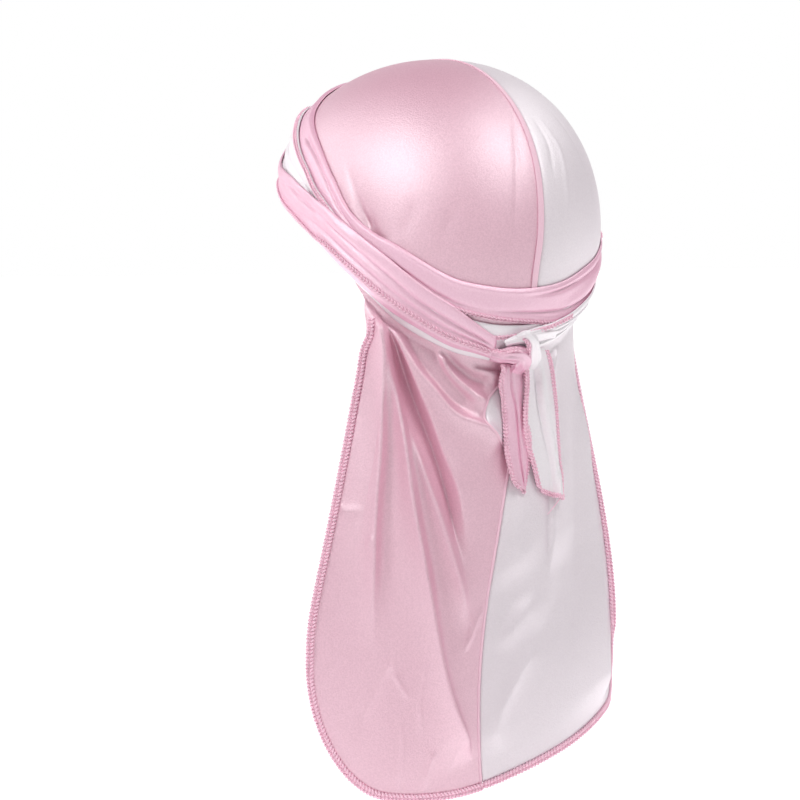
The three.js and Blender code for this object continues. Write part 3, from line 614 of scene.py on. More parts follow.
STRAP_MM_A_DEGREE = 1.5
STRAP_BREADTH = 22

# rise, width above, width below, roundness, fade in, fade out, line of (turn, share of the breadth)
LEFT_PLEATS = [
    (-1.7, 1.0, 1.6, 0.2, 0.2, 0.2, [(60, 0.35), (77, 0.3), (92.4, 0.32), (102.1, 0.45), (112, 0.5)]),
    (0.7, 1.2, 1.2, 0.4, 0.1, 0.1, [(3, 0.08), (60, 0.1), (105, 0.12), (150, 0.1), (215, 0.08)]),
    (-1.9, 0.7, 1.1, 0.15, 0.3, 0.2, [(170, 0.2), (185, 0.19), (205, 0.25), (228, 0.33)]),
    (-2.2, 0.7, 1.1, 0.15, 0.3, 0.2, [(155, 0.72), (175, 0.71), (200, 0.73), (228, 0.76)]),
    (-1.4, 0.7, 0.9, 0.15, 0.3, 0.2, [(190, 0.9), (208, 0.87), (230, 0.86)]),
    (-1.2, 0.9, 0.9, 0.2, 0.3, 0.3, [(118, 0.7), (140, 0.75), (160, 0.72)]),
    (-1.5, 0.9, 1.3, 0.2, 0.1, 0.1, [(225, 0.3), (270, 0.35), (330, 0.3), (400, 0.35)]),
    (-1.5, 0.9, 1.3, 0.2, 0.1, 0.1, [(225, 0.7), (270, 0.65), (330, 0.7), (400, 0.66)]),
    (-2.0, 0.8, 1.2, 0.2, 0.2, 0.05,
     [(410, 0.3), (430, 0.25), (455, 0.3), (484, 0.36), (507, 0.42), (523, 0.4)]),
    (-1.7, 0.8, 1.2, 0.2, 0.2, 0.05, [(430, 0.6), (455, 0.58), (484, 0.6), (507, 0.62), (523, 0.6)]),
    (0.8, 1.2, 1.2, 0.4, 0.2, 0.05, [(430, 0.85), (455, 0.85), (484, 0.86), (523, 0.84)]),
]
RIGHT_PLEATS = [
    (-1.5, 0.9, 1.2, 0.2, 0.1, 0.1, [(3, 0.3), (60, 0.35), (120, 0.3), (180, 0.35)]),
    (-1.5, 0.9, 1.2, 0.2, 0.1, 0.1, [(3, 0.7), (60, 0.65), (120, 0.7), (180, 0.66)]),
    (-1.4, 0.9, 1.2, 0.2, 0.1, 0.1, [(190, 0.5), (230, 0.5), (270, 0.45), (320, 0.5), (400, 0.5)]),
    (-1.4, 0.9, 1.2, 0.2, 0.1, 0.1, [(240, 0.8), (270, 0.78), (300, 0.8), (340, 0.78)]),
    (-1.5, 0.8, 1.1, 0.2, 0.2, 0.05, [(440, 0.25), (473, 0.22), (505, 0.25), (549, 0.3)]),
    (-1.5, 0.8, 1.1, 0.2, 0.2, 0.05, [(440, 0.5), (473, 0.48), (505, 0.5), (549, 0.52)]),
    (-1.5, 0.8, 1.1, 0.2, 0.2, 0.05, [(440, 0.76), (473, 0.74), (505, 0.76), (549, 0.75)]),
]


def strap_places(rows, pleats):
    """Turns along a strap, levels of its columns and the lift of its own pleats."""
    turns = np.arange(rows[0][0], int(rows[-1][0]) + 1, 1.0)
    shares = (1 - np.cos(np.linspace(0, math.pi, STRAP_COLUMNS + 1))) / 2
    upper, lower = follow(rows, 1, turns), follow(rows, 2, turns)
    levels = upper[:, None] + (lower - upper)[:, None] * shares[None, :]
    places = np.stack(np.broadcast_arrays(turns[:, None], shares[None, :]), -1)
    lift = raise_folds(places, pleats, np.array([STRAP_MM_A_DEGREE, STRAP_BREADTH]))
    lift += STRAP_BULGE * np.sqrt(1 - np.abs(2 * shares - 1) ** 5)[None, :]
    return turns, levels, lift


print("breadth of each strap behind the ear: %.0f and %.0f degrees" % tuple(
    follow(rows, 1, 120) - follow(rows, 2, 120) for rows in (LEFT_STRAP, RIGHT_STRAP)))

# %% [markdown]
# ## Winding
#
# A strap lies on whatever is already there, so the height of everything laid so far is kept on a
# map of the head, one degree wide and half a degree tall. Both straps are wound together, a
# degree at a time, which lets each pass rest on the passes under it as wound cloth does.

# %% Wind the straps
class HeightMap:
    """Height of the cloth laid so far, over every degree round the head."""

    FIRST, LAST, STEP = -70, 80, 0.5
    # Steps over which a band is eased, how softly, and how far it may sag between two ridges.
    SPREAD, SOFTNESS, SAG = 6, 3.2, 0.8

    def __init__(self, bare):
        self.levels = np.arange(self.FIRST, self.LAST + self.STEP, self.STEP)
        self.height = np.full((360, len(self.levels)), float(bare))

    def under(self, azimuth, side, levels):
        """Rest height of a band: the highest point here and just ahead, eased across the band."""
        near = self.height[[(azimuth + side * i) % 360 for i in (0, 1, 2)]].max(0)
        raised = np.max([np.roll(near, shift) for shift in (-1, 0, 1)], axis=0)
        eased = np.convolve(raised, bell_weights(self.SPREAD, self.SOFTNESS), mode="same")
        return np.interp(levels, self.levels, np.maximum(eased, raised - self.SAG))

    def lay(self, azimuth, levels, heights):
        """Raises the map where a band lies."""
        inside = (self.levels >= levels.min()) & (self.levels <= levels.max())
        order = np.argsort(levels)
        laid = np.interp(self.levels[inside], levels[order], heights[order])
        column = self.height[azimuth % 360]
        column[inside] = np.maximum(column[inside], laid)


def ease_along(values, reach=6, softness=3):
    """Averages each row with its neighbours."""
    weights = bell_weights(reach, softness)
    padded = np.pad(values, ((reach, reach), (0, 0)), mode="edge")
    return np.stack([np.convolve(column, weights, mode="valid") for column in padded.T], -1)


def wind(straps):
    """Lays both straps a degree at a time and returns the net of each."""
    laid = HeightMap(PANEL_TOP)
    rests = [np.zeros_like(levels) for _, levels, _, _ in straps]
    for step in range(max(len(turns) for turns, _, _, _ in straps)):
        for (turns, levels, lift, side), rest in zip(straps, rests):
            if step < len(turns):
                azimuth = int(side * turns[step])
                rest[step] = laid.under(azimuth, side, levels[step]) + STRAP_CLEARANCE
                top = rest[step] + np.maximum(lift[step], 0) + CLOTH_WALL
                laid.lay(azimuth, levels[step], top)
    nets = []
    for (turns, levels, lift, side), rest in zip(straps, rests):
        heights = ease_along(rest) + lift
        nets.append(on_head(side * turns[:, None], levels, heights))
    return nets, laid


def add_strap(name, net, side):
    """A wound strap as a sheet, its outer face outwards on either side of the head."""
    downward = net.transpose(1, 0, 2)
    return add_net(name, downward if side > 0 else downward[:, ::-1])


# Height of the panels' outer face over the head form, before a strap lies on them.
PANEL_TOP = 1.0
straps = [
    strap_places(LEFT_STRAP, LEFT_PLEATS) + (1,),
    strap_places(RIGHT_STRAP, RIGHT_PLEATS) + (-1,),
]
(left_net, right_net), laid = wind(straps)
left_strap = add_strap("pink_strap", left_net, 1)
right_strap = add_strap("white_strap", right_net, -1)
print("height of the wound cloth: %.1f mm" % laid.height.max())

# %% [markdown]
# ## Stitches
#
# An overlocked edge is a row of slanted thread loops over the raw edge. Each stitch is a short
# fat thread, thick in its middle, and two rows that lean towards each other make the braided
# look. All the stitches of an edge are swept at once as one mesh.

# %% Threads from arrays
THREAD_SIDES = 6
# Thickness of a stitch at its tips as a share of its middle, and how fast it swells.
THREAD_TIP, THREAD_SWELL = 0.45, 0.7


def sweep(starts, middles, ends, radius, steps=5):
    """Short threads bent over a middle point, as points and faces of one mesh."""
    share = np.linspace(0, 1, steps)[None, :, None]
    bend = 2 * middles - (starts + ends) / 2
    a, b, c = starts[:, None], bend[:, None], ends[:, None]
    centre = a * (1 - share) ** 2 + 2 * b * share * (1 - share) + c * share ** 2
    along = unit(np.gradient(centre, axis=1))
    up = unit(middles - (starts + ends) / 2 + 1e-6)[:, None] + np.zeros_like(along)
    aside = unit(np.cross(along, up))
    up = np.cross(aside, along)
    swell = radius * (THREAD_TIP + (1 - THREAD_TIP) * np.sin(math.pi * share)) ** THREAD_SWELL
    around = np.arange(THREAD_SIDES) * 2 * math.pi / THREAD_SIDES
    ring = (aside[:, :, None] * np.cos(around)[None, None, :, None]
            + up[:, :, None] * np.sin(around)[None, None, :, None])
    points = centre[:, :, None] + ring * swell[..., None]
    at = np.arange(len(starts) * steps * THREAD_SIDES).reshape(len(starts), steps, THREAD_SIDES)
    return points.reshape(-1, 3), tube_faces(at)


def joined(parts):
    """Several lots of points and faces as one."""
    points, faces, first = [], [], 0
    for some, some_faces in parts:
        points.append(some)
        faces += [[index + first for index in face] for face in some_faces]
        first += len(some)
    return np.concatenate(points), faces


def run_of(path):
    """Distance run at each point of a path."""
    return np.concatenate([[0], np.cumsum(np.linalg.norm(np.diff(path, axis=0), axis=1))])


def heading(path):
    """Direction along a path at each of its points."""
    return unit(np.gradient(path, axis=0))


def evenly(pitch, path, *others):
    """A path with points a pitch apart, and others resampled at the same places."""
    places = run_of(path)
    count = max(int(round(places[-1] / pitch)), 2)
    wanted = np.linspace(0, places[-1], count + 1)
    return [np.stack([np.interp(wanted, places, values[:, i]) for i in range(3)], -1)
            for values in (path, *others)]


some_points, some_faces = sweep(*(np.array([[x, 0.0, z]]) for x, z in ((0, 0), (1, 1), (2, 0))), 0.3)
print("a stitch has", len(some_points), "points and", len(some_faces), "faces")

# %% [markdown]
# ## An edging
#
# The needle thread runs inside the stitches and the raw edge of the cloth with it, so an edging
# has a flat core with rounded sides, and the rows of stitches stand over both of its faces, or
# over one where the other lies on the cloth.

# %% Core and stitches
# Where a stitch begins and ends, as shares of the pitch and of the thread's radius.
STITCH_LEAN, STITCH_CROSS, STITCH_PAST = 0.65, 0.5, 0.25
STITCH_START, STITCH_END, STITCH_TOP = 0.2, 0.5, 1.1
RIBBON_SECTION = [
    (-0.5, 0), (-0.4, 0.5), (0, 0.6), (0.4, 0.5), (0.5, 0), (0.4, -0.5), (0, -0.6), (-0.4, -0.5),
]
CORE_PITCH = 1.2


def overlock(path, out, aside, width, pitch, radius, faces):
    """Two rows of slanted stitches along a path, in the plane of aside, standing up along out."""
    path, out, aside = evenly(pitch, path, out, aside)
    out, aside = unit(out)[:-1], unit(aside)[:-1]
    here, ahead = path[:-1], path[1:]
    parts = []
    for face in faces:
        raised = out * face * radius
        for row in (-1, 1):
            start = here + aside * row * width / 2 + raised * STITCH_START
            middle = (here * (1 - STITCH_LEAN) + ahead * STITCH_LEAN
                      + aside * row * radius * STITCH_CROSS)
            end = middle + (ahead - here) * STITCH_PAST + raised * STITCH_END
            top = (start + end) / 2 + raised * STITCH_TOP
            parts.append(sweep(start, top, end, radius))
    return joined(parts)


def ribbon(path, out, aside, width, wall):
    """A flat strip with rounded sides along a path, closed at both ends."""
    out, aside = unit(out), unit(aside)
    width = np.broadcast_to(np.asarray(width, float), len(path))[:, None]
    rings = np.stack([path + aside * x * width + out * y * wall for x, y in RIBBON_SECTION], 1)
    at = np.arange(rings[..., 0].size).reshape(1, *rings.shape[:2])
    return rings.reshape(-1, 3), tube_faces(at[..., ::-1])


def edging(path, out, aside, core, stitch, faces=(1, -1)):
    """An overlocked edge: core is its width and wall, stitch its width, pitch and thread."""
    strip = ribbon(*evenly(CORE_PITCH, path, out, aside), *core)
    return joined([strip, overlock(path, out, aside, *stitch, faces)])


print("an edging's core has", len(RIBBON_SECTION), "sides")

# %% [markdown]
# ## Overlocked edges of the tail
#
# The edging runs down the side and round the corner to the seam, just outside the cloth, about
# four millimetres wide, with a stitch every two millimetres.

# %% Hems
HEM_WIDTH = 4.0
HEM_CORE = (HEM_WIDTH * 0.86, 1.0)
HEM_STITCH = (HEM_WIDTH, 1.9, 0.66)
HEM_ASIDE, HEM_HEIGHT = 0.45, 0.2
HEM_START, SEAM_GAP = 0.012, 0.002
SIDE_POINTS, END_POINTS = 150, 109
# The hem's first few centimetres are turned in over the cloth of the left half: (down, across).
HEM_TURNED_IN = [(0, 0.09), (0.05, 0.06), (0.11, 0.012), (0.15, 0), (1, 0)]


def hem_path(side):
    """Edge of one half of the tail, with outward and sideways directions."""
    downs = np.linspace(HEM_START, 1, SIDE_POINTS)
    beside = follow(HEM_TURNED_IN, 1, downs) if side > 0 else 0 * downs
    to_seam = np.linspace(-side, -side * SEAM_GAP, END_POINTS + 1)[1:]
    down = np.concatenate([downs, np.ones(END_POINTS)])
    across = dragged(np.concatenate([-side * (1 - beside), to_seam]), down)
    edge = on_tail(across, down, HEM_HEIGHT)
    out = tail_out(across * 0.999, down)
    aside = unit(np.cross(heading(edge), out)) * side
    return edge + aside * HEM_WIDTH * HEM_ASIDE, out, aside


left_hem, right_hem = (
    add_mesh(name, *edging(*hem_path(side), HEM_CORE, HEM_STITCH))
    for name, side in (("pink_half_overlock", 1), ("white_half_overlock", -1)))
print("overlock:", [len(piece.data.polygons) for piece in (left_hem, right_hem)], "faces")

# %% [markdown]
# ## Overlocked edges of the straps
#
# Both edges of a strap are overlocked too, with a narrower row. Where the strap is folded over,
# the row lies inside the band instead of along its edge, so each row is a line of (turn, share
# of the breadth) over the wound strap.

# %% Rows of stitches on the straps
ROW_WIDTH = 2.4
ROW_THREAD = 0.42
ROW_CORE = (ROW_WIDTH * 0.8, 0.35)
ROW_STITCH = (ROW_WIDTH, 2.1, ROW_THREAD)
ROW_STEP, ROW_REACH, ROW_LIFT = 0.5, 0.04, 0.2

# turn, share of the breadth
LEFT_ROWS = [
    [(3, 0.95), (60, 0.95), (100, 0.97), (112, 0.97)],
    [(118, 0.93), (150, 0.92), (170, 0.93), (200, 0.94), (240, 0.95), (330, 0.95)],
    [(330, 0.95), (392, 0.95), (420, 0.93), (440, 0.88), (460, 0.8), (484, 0.76), (507, 0.75),
     (522, 0.7)],
    [(225, 0.05), (330, 0.05), (380, 0.06)],
]
RIGHT_ROWS = [
    [(3, 0.95), (100, 0.95), (165, 0.94)],
    [(182, 0.16), (195, 0.3), (206, 0.36)],
    [(262, 0.06), (285, 0.06), (310, 0.07), (380, 0.06)],
    [(528, 0.07), (537, 0.07), (549, 0.09)],
]


def on_net(net, rows, columns):
    """Points of a net at fractional rows and columns."""
    rows = np.clip(rows, 0, net.shape[0] - 1.001)
    columns = np.clip(columns, 0, net.shape[1] - 1.001)
    i, j = rows.astype(int), columns.astype(int)
    a, b = (rows - i)[:, None], (columns - j)[:, None]
    upper = net[i, j] * (1 - b) + net[i, j + 1] * b
    lower = net[i + 1, j] * (1 - b) + net[i + 1, j + 1] * b
    return upper * (1 - a) + lower * a


def stitch_row(net, line, side, first_turn):
    """Stitches over a wound strap along one line of (turn, share)."""
    turns = np.arange(line[0][0], line[-1][0], ROW_STEP)
    shares = follow(line, 1, turns)
    here, near = (STRAP_COLUMNS * np.arccos(np.clip(1 - 2 * part, -1, 1)) / math.pi
                  for part in (shares, shares + ROW_REACH))
    path = on_net(net, turns - first_turn, here)
    across = unit(on_net(net, turns - first_turn, near) - path + 1e-9)
    out = unit(np.cross(heading(path), across)) * -side
    aside = unit(np.cross(out, heading(path)))
    lifted = path + out * (CLOTH_WALL / 2 + ROW_THREAD * ROW_LIFT)
    return edging(lifted, out, aside, ROW_CORE, ROW_STITCH, (1,))


left_rows, right_rows = (
    add_mesh(name, *joined([stitch_row(net, line, side, route[0][0]) for line in lines]))
    for name, net, lines, side, route in (
        ("pink_strap_overlock", left_net, LEFT_ROWS, 1, LEFT_STRAP),
        ("white_strap_overlock", right_net, RIGHT_ROWS, -1, RIGHT_STRAP)))
print("strap rows:", [len(piece.data.polygons) for piece in (left_rows, right_rows)], "faces")

# %% [markdown]
# ## The middle seam
#
# The two panels are joined with their edges inside. The folded allowance lies to the pink side
# and shows as a narrow raised strip, brighter than the cloth beside it.

# %% Seam strips
SEAM_WIDTH, SEAM_WALL = 4.0, 0.5
SEAM_HEIGHT, SEAM_ASIDE, SEAM_POINTS = 0.85, 2.2, 260
# The strip starts above the forehead's straps and ends under those at the back, as degrees of
# arc over the head, and it is narrowed by the stretch over the top.
SEAM_ARC = (21, 204)
TOP_NARROWING, TOP_REACH = 0.65, 45
TAIL_STRIP, TAIL_STRIP_HEIGHT = (1.5, 0.4), 0.15
TAIL_STRIP_START, TAIL_STRIP_ACROSS = 0.03, -0.009


def add_crown_seam():
    """The strip from the forehead over the top to the back of the head."""
    arcs = np.linspace(*SEAM_ARC, SEAM_POINTS)
    turn = np.where(arcs > 90, 180.0, 0.0)
    level = np.where(arcs > 90, 180 - arcs, arcs)
    middle = on_head(leaning(turn, level), level, SEAM_HEIGHT)
    aside = np.tile([1.0, 0, 0], (len(arcs), 1))
    narrow = 1 - TOP_NARROWING * bell((arcs - 90) / TOP_REACH)[:, None]
    path = middle + aside * SEAM_ASIDE * narrow
    strip = ribbon(path, unit(middle), aside, SEAM_WIDTH * narrow[:, 0], SEAM_WALL)
    return add_mesh("crown_seam_strip", *strip)


def add_tail_seam():
    """The finer strip from the knot down to the hem."""
    downs = np.linspace(TAIL_STRIP_START, 1, SEAM_POINTS)
    across = dragged(TAIL_STRIP_ACROSS, downs)
    middle = on_tail(across, downs, TAIL_STRIP_HEIGHT)
    out = tail_out(across, downs)
    aside = unit(np.cross(heading(middle), out))
    return add_mesh("tail_seam_strip", *ribbon(middle, out, aside, *TAIL_STRIP))


crown_seam = add_crown_seam()
tail_seam = add_tail_seam()
print("seam strips:", [len(piece.data.polygons) for piece in (crown_seam, tail_seam)], "faces")

# %% [markdown]
# ## Places by the knot
#
# The knot is drawn from where it is looked at: behind the wearer's left shoulder. Its places are
# millimetres to the right and up as seen from there, and out from the head. A line of sight
# through such a place is followed to the head form by halving the gap thirty times.

# %% From the eye to the head
PHOTO_ANGLE = 38.5
PHOTO_DISTANCE = 1500
KNOT_MIDDLE = on_head(172, -37, 3.2)
around_back = math.radians(PHOTO_ANGLE)
EYE = PHOTO_DISTANCE * np.array([math.sin(around_back), math.cos(around_back), 0])
TOWARD = unit(EYE - KNOT_MIDDLE)
ACROSS = unit(np.cross([0.0, 0.0, 1.0], TOWARD))
ABOVE = np.cross(TOWARD, ACROSS)
NEAREST, FARTHEST, HALVINGS = -40.0, 60.0, 30


def by_knot(places):
    """Points over the head form from (right, up, out) as seen from the photo's side."""
    places = np.asarray(places, float)
    flat = KNOT_MIDDLE + places[..., :1] * ACROSS + places[..., 1:2] * ABOVE
    near, far = np.full(flat.shape[:-1], NEAREST), np.full(flat.shape[:-1], FARTHEST)
    for _ in range(HALVINGS):
        middle = (near + far) / 2
        point = flat + middle[..., None] * TOWARD
        reach = np.linalg.norm(point, axis=-1)
        level = np.degrees(np.arcsin(point[..., 2] / reach))
        turn = np.degrees(np.arctan2(point[..., 0], -point[..., 1]))
        surface = np.linalg.norm(on_head(turn, level, places[..., 2]), axis=-1)
        outside = reach > surface
        far = np.where(outside, middle, far)
        near = np.where(outside, near, middle)
    return flat + ((near + far) / 2)[..., None] * TOWARD


print("middle of the knot: %.0f, %.0f, %.0f mm" % tuple(KNOT_MIDDLE))

# %% [markdown]
# ## The knot
#
# The straps are turned once through each other. Each is bunched into a thick cord as it goes
# round, so the knot is made of bunched bands: a tube along a line, with pleats along its length.
# The overlocked edge of each strap comes to the surface here and there.

# %% Bunched bands round the knot
BAND_STEPS, BAND_SIDES, BAND_TWIST = 70, 36, 2.5
BAND_RADIUS, PLEAT_SHARPNESS = 4, 1.5
KNOT_CORE = (ROW_WIDTH * 0.8, 0.5)


def band(line, widths):
    """A band's path by the knot, its breadth and thickness, and directions along, out, aside."""
    path = smooth_line(by_knot(line), BAND_STEPS)
    along = heading(path)
    aside = unit(np.cross(along, unit(path)))
    return path, smooth_line(widths, BAND_STEPS), along, np.cross(aside, along), aside


def bunched(line, widths, pleats, depth):
    """A pleated cord along a line by the knot; widths are its breadth and thickness along it."""
    path, size, _, out, aside = band(line, widths)
    shares = np.linspace(0, 1, BAND_STEPS)
    around = np.arange(BAND_SIDES) * 2 * math.pi / BAND_SIDES
    fold = np.abs(np.sin(pleats * around[None, :] / 2 + BAND_TWIST * shares[:, None]))
    wave = 1 - depth * (1 - fold) ** PLEAT_SHARPNESS
    x = np.cos(around)[None, :] * wave * size[:, :1] / 2
    y = np.sin(around)[None, :] * wave * size[:, 1:] / 2
    rings = path[:, None] + aside[:, None] * x[..., None] + out[:, None] * y[..., None]
    at = np.arange(BAND_STEPS * BAND_SIDES).reshape(1, BAND_STEPS, BAND_SIDES)
    uv = np.stack(np.meshgrid(around * BAND_RADIUS, -run_of(path)), -1).reshape(-1, 2) / 1000
    return rings.reshape(-1, 3), tube_faces(at), uv


def edge_stitches(line, widths, aslant):
    """A row of stitches along one side of a bunched band, aslant degrees round it."""
    path, size, along, out, aside = band(line, widths)
    sideways, upwards = math.cos(math.radians(aslant)), math.sin(math.radians(aslant))
    edge = path + aside * size[:, :1] / 2 * sideways + out * size[:, 1:] / 2 * upwards
    normal = unit(aside * sideways + out * upwards)
    return edging(edge, normal, np.cross(along, normal), KNOT_CORE, ROW_STITCH, (1,))


# right, up, out in millimetres, and breadth, thickness
PINK_TURN = [
    (-13, -1.5, 3.0), (-8, -2.5, 4.8), (-3, -2, 6.5), (1.5, -2.5, 8.0), (3, -6, 7.5),
    (0.5, -10, 5.5), (-1, -13, 4.5),
]
PINK_TURN_SIZES = [(8, 3), (9, 5), (12, 7), (13, 8), (13, 7), (11, 5), (9, 3)]
WHITE_TURN = [(20, 10, 3.0), (12, 8.5, 4.5), (5, 7, 6.0), (-1, 5.5, 5.5), (-5.5, 3.8, 4.0)]
WHITE_TURN_SIZES = [(9, 3), (8, 4), (8, 4.5), (8, 5), (5, 3)]
WHITE_OVER = [(1, 7.5, 5.5), (5, 8.5, 8.5), (8, 5.5, 9.5), (8.5, 0, 8.5), (9, -7, 7.5), (9, -15, 6.0)]
WHITE_OVER_SIZES = [(4, 3), (7, 5), (8, 5), (9, 4), (7, 3.5), (4, 2)]

pink_loop = add_mesh("knot_pink_loop", *bunched(PINK_TURN, PINK_TURN_SIZES, 9, 0.3))
white_under = add_mesh("knot_white_under", *bunched(WHITE_TURN, WHITE_TURN_SIZES, 7, 0.25))
white_loop = add_mesh("knot_white_loop", *bunched(WHITE_OVER, WHITE_OVER_SIZES, 7, 0.22))
knot_rows = add_mesh("knot_overlock", *joined([
    edge_stitches(WHITE_OVER[:4], WHITE_OVER_SIZES[:4], 35),
    edge_stitches(PINK_TURN[:4], PINK_TURN_SIZES[:4], 150),
]))
print("bands of the knot:", ", ".join(piece.name for piece in (pink_loop, white_under, white_loop)))

# %% [markdown]
# ## The loose ends
#
# Past the knot both straps hang down over the tail as narrow curled strips, the pink one shorter.
# Their edges are given as places on the tail, and the cloth between them is curled lengthwise.

# %% Loose ends
# share along, left edge across and down, right edge across and down, height over the tail
PINK_END = [
    (0, -0.17, 0.0, 0.0, 0.0, 4.0), (0.12, -0.19, 0.012, -0.01, 0.02, 4.5),
    (0.25, -0.18, 0.04, 0.01, 0.06, 4.5), (0.4, -0.13, 0.075, 0.02, 0.1, 4.0),
    (0.55, -0.09, 0.125, 0.04, 0.145, 3.5), (0.7, -0.065, 0.18, 0.07, 0.19, 3.0),
    (0.82, -0.035, 0.225, 0.095, 0.235, 2.5), (0.92, 0.025, 0.275, 0.11, 0.28, 2.0),
    (1, 0.085, 0.308, 0.112, 0.318, 1.6),
]
WHITE_END = [
    (0, 0.02, 0.0, 0.12, 0.0, 7.0), (0.15, 0.0, 0.012, 0.13, 0.02, 7.5),
    (0.35, 0.01, 0.07, 0.155, 0.08, 7.0), (0.55, 0.035, 0.135, 0.19, 0.145, 6.0),
    (0.72, 0.08, 0.2, 0.235, 0.225, 4.5), (0.86, 0.13, 0.255, 0.28, 0.305, 3.5),
    (1, 0.2, 0.34, 0.325, 0.39, 2.0),
]
PINK_ROOT = [(-6.4, -6.3, 4.5), (4.7, -6.5, 5.0)]
WHITE_ROOT = [(5.5, 1.0, 6.5), (14.5, 1.5, 4.5)]
END_ROWS, END_COLUMNS = 110, 36
END_HOLD = 0.3
END_CORE = (ROW_WIDTH * 0.85, 0.8)
END_STITCH = (ROW_WIDTH * 1.1, 1.89, ROW_THREAD * 1.15)
# Stitches begin a few rows below the knot.
END_ASIDE, BARE_ROWS = 0.3, 4


def end_net(rows, root, curl):
    """A loose end as a net, held at the knot and lying on the tail further down."""
    shares = np.linspace(0, 1, END_ROWS)
    places = np.linspace(0, 1, END_COLUMNS)[None, :]
    edges = [follow(rows, column, shares)[:, None] for column in range(1, 6)]
    across = edges[0] + (edges[2] - edges[0]) * places
    down = edges[1] + (edges[3] - edges[1]) * places
    net = on_tail(across, down, edges[4] + curl(shares[:, None], places))
    left, right = np.asarray(root, float)
    tied = by_knot(left + (right - left) * places[0][:, None])
    hold = (1 - ramp(shares, 0, END_HOLD))[:, None, None]
    return net + (tied - net[0])[None] * hold


def pink_curl(share, place):
    """The pink end is curled in at both edges, with one crease that wanders across it."""
    crease = 0.35 + 0.35 * share
    rolled = 1.5 * (2 * place - 1) ** 4 * np.sin(9 * share + 2 * place)
    return rolled - 1.6 * bell((place - crease) / 0.07) + np.sin(math.pi * place)


def white_curl(share, place):
    """The white end is folded lengthwise, with a rounded crest to the right of its middle."""
    crest = 0.6 + 0.15 * share
    step = 1 / (1 + np.exp(-(place - crest + 0.16) / 0.035))
    round_crest = bell((place - crest) / 0.2)
    crease = bell((place - crest + 0.3 - 0.2 * share) / 0.05)
    return (4.0 * step * round_crest - 1.2 * crease) * ramp(share, 0, 0.3)


def end_edges(net):
    """Rows of stitches down both edges of a loose end and across its tip."""
    normals = net_normals(net)
    parts = []
    for path, out, inner in (
        (net[BARE_ROWS:, 0], normals[BARE_ROWS:, 0], net[BARE_ROWS:, 2]),
        (net[BARE_ROWS:, -1], normals[BARE_ROWS:, -1], net[BARE_ROWS:, -3]),
        (net[-1], normals[-1], net[-3]),
    ):
        aside = unit(path - inner)
        parts.append(edging(path + aside * ROW_WIDTH * END_ASIDE, out, aside, END_CORE, END_STITCH))
    return joined(parts)


pink_end_net = end_net(PINK_END, PINK_ROOT, pink_curl)
white_end_net = end_net(WHITE_END, WHITE_ROOT, white_curl)
pink_end = add_net("pink_tie_end", pink_end_net)
white_end = add_net("white_tie_end", white_end_net)
pink_end_rows = add_mesh("pink_end_overlock", *end_edges(pink_end_net))

# A few millimetres of thread hang from the white tip: across, down and height over the tail.
LOOSE_THREAD, LOOSE_STEPS = 0.3, 12
LOOSE_PLACES = [(0.32, 0.385, 2.0), (0.3, 0.395, 2.5), (0.27, 0.418, 1.2)]
loose = [on_tail([across], [down], height) for across, down, height in LOOSE_PLACES]
loose_thread = sweep(*loose, LOOSE_THREAD, LOOSE_STEPS)
white_end_rows = add_mesh("white_end_overlock", *joined([end_edges(white_end_net), loose_thread]))
print("loose ends:", [len(piece.data.polygons) for piece in (pink_end, white_end)], "faces")

# %% [markdown]
# ## Arithmetic on sockets
#
# A finish is worked out from a few patterns by sums and products. A small class wraps a socket so
# that they can be written plainly, and one method adds every node, for the cloth, the floor and
# the light round them alike.

# %% Nodes from plain arithmetic
class Wire:
    """An output socket that can be added and multiplied."""

    def __init__(self, finish, socket):
        self.finish = finish
        self.socket = socket

    def _with(self, operation, first, second):
        return self.finish.node("ShaderNodeMath", {"operation": operation}, {0: first, 1: second})

    def __add__(self, other):
        return self._with("ADD", self, other)

    def __mul__(self, other):
        return self._with("MULTIPLY", self, other)

    __radd__ = __add__
    __rmul__ = __mul__


